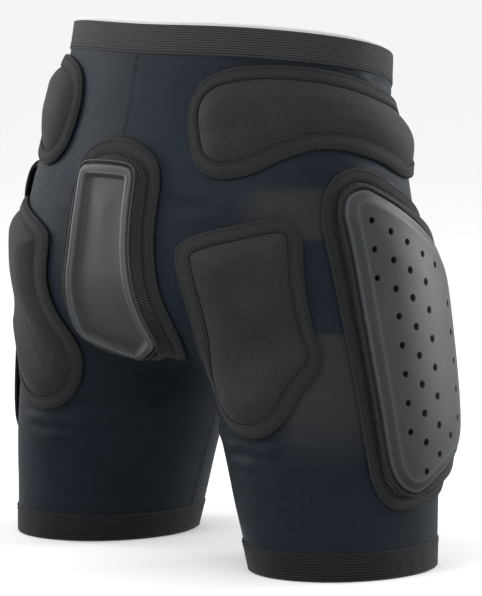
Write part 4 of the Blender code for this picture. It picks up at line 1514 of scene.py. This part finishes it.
@dataclass
class Waist:
    """The elastic waistband and the pale lining that shows over its rim."""

    tall: float = 0.0245
    proud: float = 0.003

    def build(self, looks: Wardrobe) -> list[bpy.types.Object]:
        """Band, lining and the two rows that sew the band to the cloth."""
        whole = Side.LEFT
        band = Band(FORM.trunk_point, lambda t: FORM.rim(t) - self.tall, FORM.rim, 0.0010, -0.0016,
                    0.0021, 0.0003).build("waistband_elastic", looks.elastic, whole)
        lining = Band(FORM.trunk_point, lambda t: FORM.rim(t) - self.tall - 0.004,
                      lambda t: FORM.rim(t) + self.proud, -0.0026, -0.0044, 0.004, 0.0001,
                      rows=24).build("waist_lining_band", looks.lining, whole)
        turn = np.linspace(0, 360, 300, endpoint=False)
        rows = [FORM.lift(FORM.trunk_point(turn, FORM.rim(turn) - self.tall + up), 0.0008)
                for up in (0.0016, 0.0046)]
        thread = sewn("waistband_stitches", rows, looks, whole,
                      stitch=Stitch(0.0032, 0.0024, 0.00026, 0.0002))
        Anchor.TRUNK.hold([band, lining, thread], whole)
        stand_in(band, "elastic", "waistband")
        stand_in(lining, "lining", "waistband_lining")
        return [band, lining, thread]


@dataclass
class Cuff:
    """The hem band at the bottom of a leg."""

    tall: float = 0.024

    def build(self, looks: Wardrobe, side: Side) -> list[bpy.types.Object]:
        """Band and its two rows of stitches."""
        level = lambda value: lambda turn: np.full(np.shape(turn), value)
        band = Band(FORM.leg_point, level(0.0), level(self.tall), 0.0010, -0.0016, 0.0024, 0.0002,
                    columns=200, rows=70).build(f"leg_hem_{side.word}", looks.hem, side)
        turn = np.linspace(0, 360, 260, endpoint=False)
        rows = [FORM.lift(FORM.leg_point(turn, np.full(260, up)), 0.0009)
                for up in (0.0195, 0.0223)]
        thread = sewn(f"leg_hem_stitches_{side.word}", rows, looks, side,
                      stitch=Stitch(0.0030, 0.0022, 0.00024, 0.00018))
        Anchor.FOLD.hold([band, thread], side)
        stand_in(band, "elastic", f"leg_cuff_{side.word}")
        return [band, thread]


@dataclass
class Seams:
    """Rows of fine stitches along the centre back, the centre front, the gusset and the inseams."""

    fine: Stitch = Stitch(0.0026, 0.0019, 0.00020, 0.00016)

    def centre(self, looks: Wardrobe) -> bpy.types.Object:
        """Twin rows down the centre back to the tail pad, and down the centre front."""
        back, front = np.linspace(0.362, 0.4285, 60), np.linspace(0.185, 0.370, 120)
        rows = [FORM.lift(FORM.trunk_point(np.full(len(z), turn), z), -0.0001)
                for turn, z in ((0.5, back), (-0.5, back), (179.4, front), (180.6, front))]
        seam = sewn("centre_seams", rows, looks, Side.LEFT, False, self.fine)
        Anchor.TRUNK.hold([seam], Side.LEFT)
        return seam

    def inside(self, cloth: StretchCloth, looks: Wardrobe, side: Side) -> bpy.types.Object:
        """Twin rows up the inside of a leg and a row beside the gusset."""
        turn, line = cloth.leg_line()
        around = np.where(turn < 0, turn + 360, turn)
        inner = line[np.argsort(around)][56:125]
        z = np.linspace(0.0245, 0.1275, 90)
        rows = [FORM.lift(FORM.leg_point(np.full(90, at), z), -0.0001) for at in (-161.4, -158.6)]
        rows.append(FORM.lift(inner, 0.0))
        seam = sewn(f"inside_seams_{side.word}", rows, looks, side, False, self.fine)
        Anchor.FOLD.hold([seam], side)
        return seam


# ------------------------------------------------------------------------------------------------
# Studio
# ------------------------------------------------------------------------------------------------
@dataclass(frozen=True)
class SoftBox:
    """A square lamp, placed in the camera's own directions: right, up and towards the camera."""

    name: str
    place: tuple[float, float, float]
    size: float
    power: float


@dataclass
class Studio:
    """Plain pale floor, soft light and the camera."""

    azimuth: float = 223.66
    elevation: float = 5.70
    roll: float = 0.356
    distance: float = 3.4486
    target: tuple[float, float, float] = (0.0, -SETBACK, 0.25)
    lens: float = 160.46
    shift: tuple[float, float] = (0.0273, -0.0644)
    air: tuple[float, float, float, float] = (-0.7, 0.8, 0.08, 1.0)
    floor_half: float = 30.0
    floor_gap: float = 0.0004
    boxes: tuple[SoftBox, ...] = (
        SoftBox("key", (-1.3, 1.5, 1.8), 1.4, 30.0),
        SoftBox("left_edge", (-2.0, 0.5, -0.7), 1.0, 20.0),
        SoftBox("right_edge", (2.0, 0.6, -0.7), 1.0, 30.0),
        SoftBox("fill", (1.4, 0.6, 2.2), 1.6, 8.0))

    def axes(self) -> tuple[Vector, Vector, Vector]:
        """The camera's right, up and back directions before its roll."""
        a, e = math.radians(self.azimuth), math.radians(self.elevation)
        back = Vector((math.sin(a) * math.cos(e), -math.cos(a) * math.cos(e), math.sin(e)))
        right = (-back).cross(Vector((0, 0, 1))).normalized()
        return right, right.cross(-back), back

    def set_camera(self) -> None:
        """Make the camera and use it."""
        right, up, back = self.axes()
        r = math.radians(self.roll)
        right, up = right * math.cos(r) + up * math.sin(r), up * math.cos(r) - right * math.sin(r)
        data = bpy.data.cameras.new("camera")
        data.sensor_fit, data.sensor_height, data.lens = "VERTICAL", 24.0, self.lens
        data.shift_x, data.shift_y = self.shift
        camera = bpy.data.objects.new("camera", data)
        camera.location = Vector(self.target) + back * self.distance
        camera.rotation_mode = "QUATERNION"
        camera.rotation_quaternion = Matrix((right, up, back)).transposed().to_quaternion()
        bpy.context.scene.collection.objects.link(camera)
        bpy.context.scene.camera = camera

    def set_lamps(self) -> None:
        """Hang the soft boxes."""
        axes = self.axes()
        for box in self.boxes:
            data = bpy.data.lights.new(box.name, "AREA")
            data.energy, data.size = box.power, box.size
            lamp = bpy.data.objects.new(box.name, data)
            offset = sum((axis * along for axis, along in zip((axes[0], Vector((0, 0, 1)), axes[2]),
                                                              box.place)), Vector())
            lamp.location = Vector(self.target) + offset
            lamp.rotation_euler = offset.to_track_quat("Z", "Y").to_euler()
            bpy.context.scene.collection.objects.link(lamp)

    def set_floor(self) -> None:
        """Lay the floor and make the air pale."""
        mesh = bpy.data.meshes.new("floor")
        corners = ((-1, -1), (1, -1), (1, 1), (-1, 1))
        mesh.from_pydata([(x * self.floor_half, y * self.floor_half, -self.floor_gap)
                          for x, y in corners], [], [(0, 1, 2, 3)])
        desk = Desk("pale_floor")
        mesh.materials.append(desk.finish(Base_Color=(0.90, 0.90, 0.90), Roughness=0.9,
                                          Specular_IOR_Level=0.1,
                                          Emission_Color=(1.0, 1.0, 1.0), Emission_Strength=0.12))
        floor = bpy.data.objects.new("floor", mesh)
        bpy.context.scene.collection.objects.link(floor)
        floor.visible_glossy = False
        world = bpy.data.worlds.new("air")
        world.use_nodes = True
        nodes, links = world.node_tree.nodes, world.node_tree.links
        facing, spread = nodes.new("ShaderNodeVectorMath"), nodes.new("ShaderNodeMapRange")
        facing.operation, spread.interpolation_type = "DOT_PRODUCT", "SMOOTHSTEP"
        facing.inputs[1].default_value = (Vector((0, 0, 0.85)) - self.axes()[2] * 0.5).normalized()
        for key, value in zip(("From Min", "From Max", "To Min", "To Max"), self.air):
            spread.inputs[key].default_value = value
        links.new(nodes.new("ShaderNodeTexCoord").outputs["Generated"], facing.inputs[0])
        links.new(facing.outputs["Value"], spread.inputs["Value"])
        links.new(spread.outputs["Result"], nodes["Background"].inputs["Strength"])
        nodes["Background"].inputs["Color"].default_value = (1.0, 1.0, 1.0, 1.0)
        bpy.context.scene.world = world
        bpy.context.scene.view_settings.view_transform = "Standard"

    def set_up(self) -> None:
        """Everything."""
        self.set_camera()
        self.set_lamps()
        self.set_floor()


@dataclass
class Shorts:
    """The whole object."""

    looks: Wardrobe = field(default_factory=Wardrobe)
    cloth: StretchCloth = field(default_factory=StretchCloth)
    cloth_flat: tuple[float, float] = (0.56, 0.44)
    cloth_area: float = 0.205

    def build(self) -> list[bpy.types.Object]:
        """Every piece, sub-assembly by sub-assembly."""
        seams, thigh, hip, glute, cuff = Seams(), ThighPad(), hip_pad(), glute_pad(), Cuff()
        grids = self.cloth.grids()
        pieces = Waist().build(self.looks) + TailPad().build(self.looks)
        pieces.append(seams.centre(self.looks))
        for side in Side:
            cloth = self.cloth.build(grids, self.looks, side)
            word = side.word
            stand_in(cloth, "cloth", f"back_panel_{word}", f"front_panel_{word}",
                     f"leg_sleeve_{word}", "crotch_gusset")
            hem = cuff.build(self.looks, side)
            pieces += [cloth, *hem, seams.inside(self.cloth, self.looks, side)]
            for pad in (hip, glute, thigh):
                pieces += pad.build(self.looks, side)
        return pieces


def main() -> None:
    """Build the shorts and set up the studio."""
    logging.basicConfig(level=logging.INFO, format="%(message)s")
    Studio().set_up()
    for piece in Shorts().build():
        LOG.info("%s: %d faces", piece.name, len(piece.data.polygons))


if __name__ == "__main__":
    main()
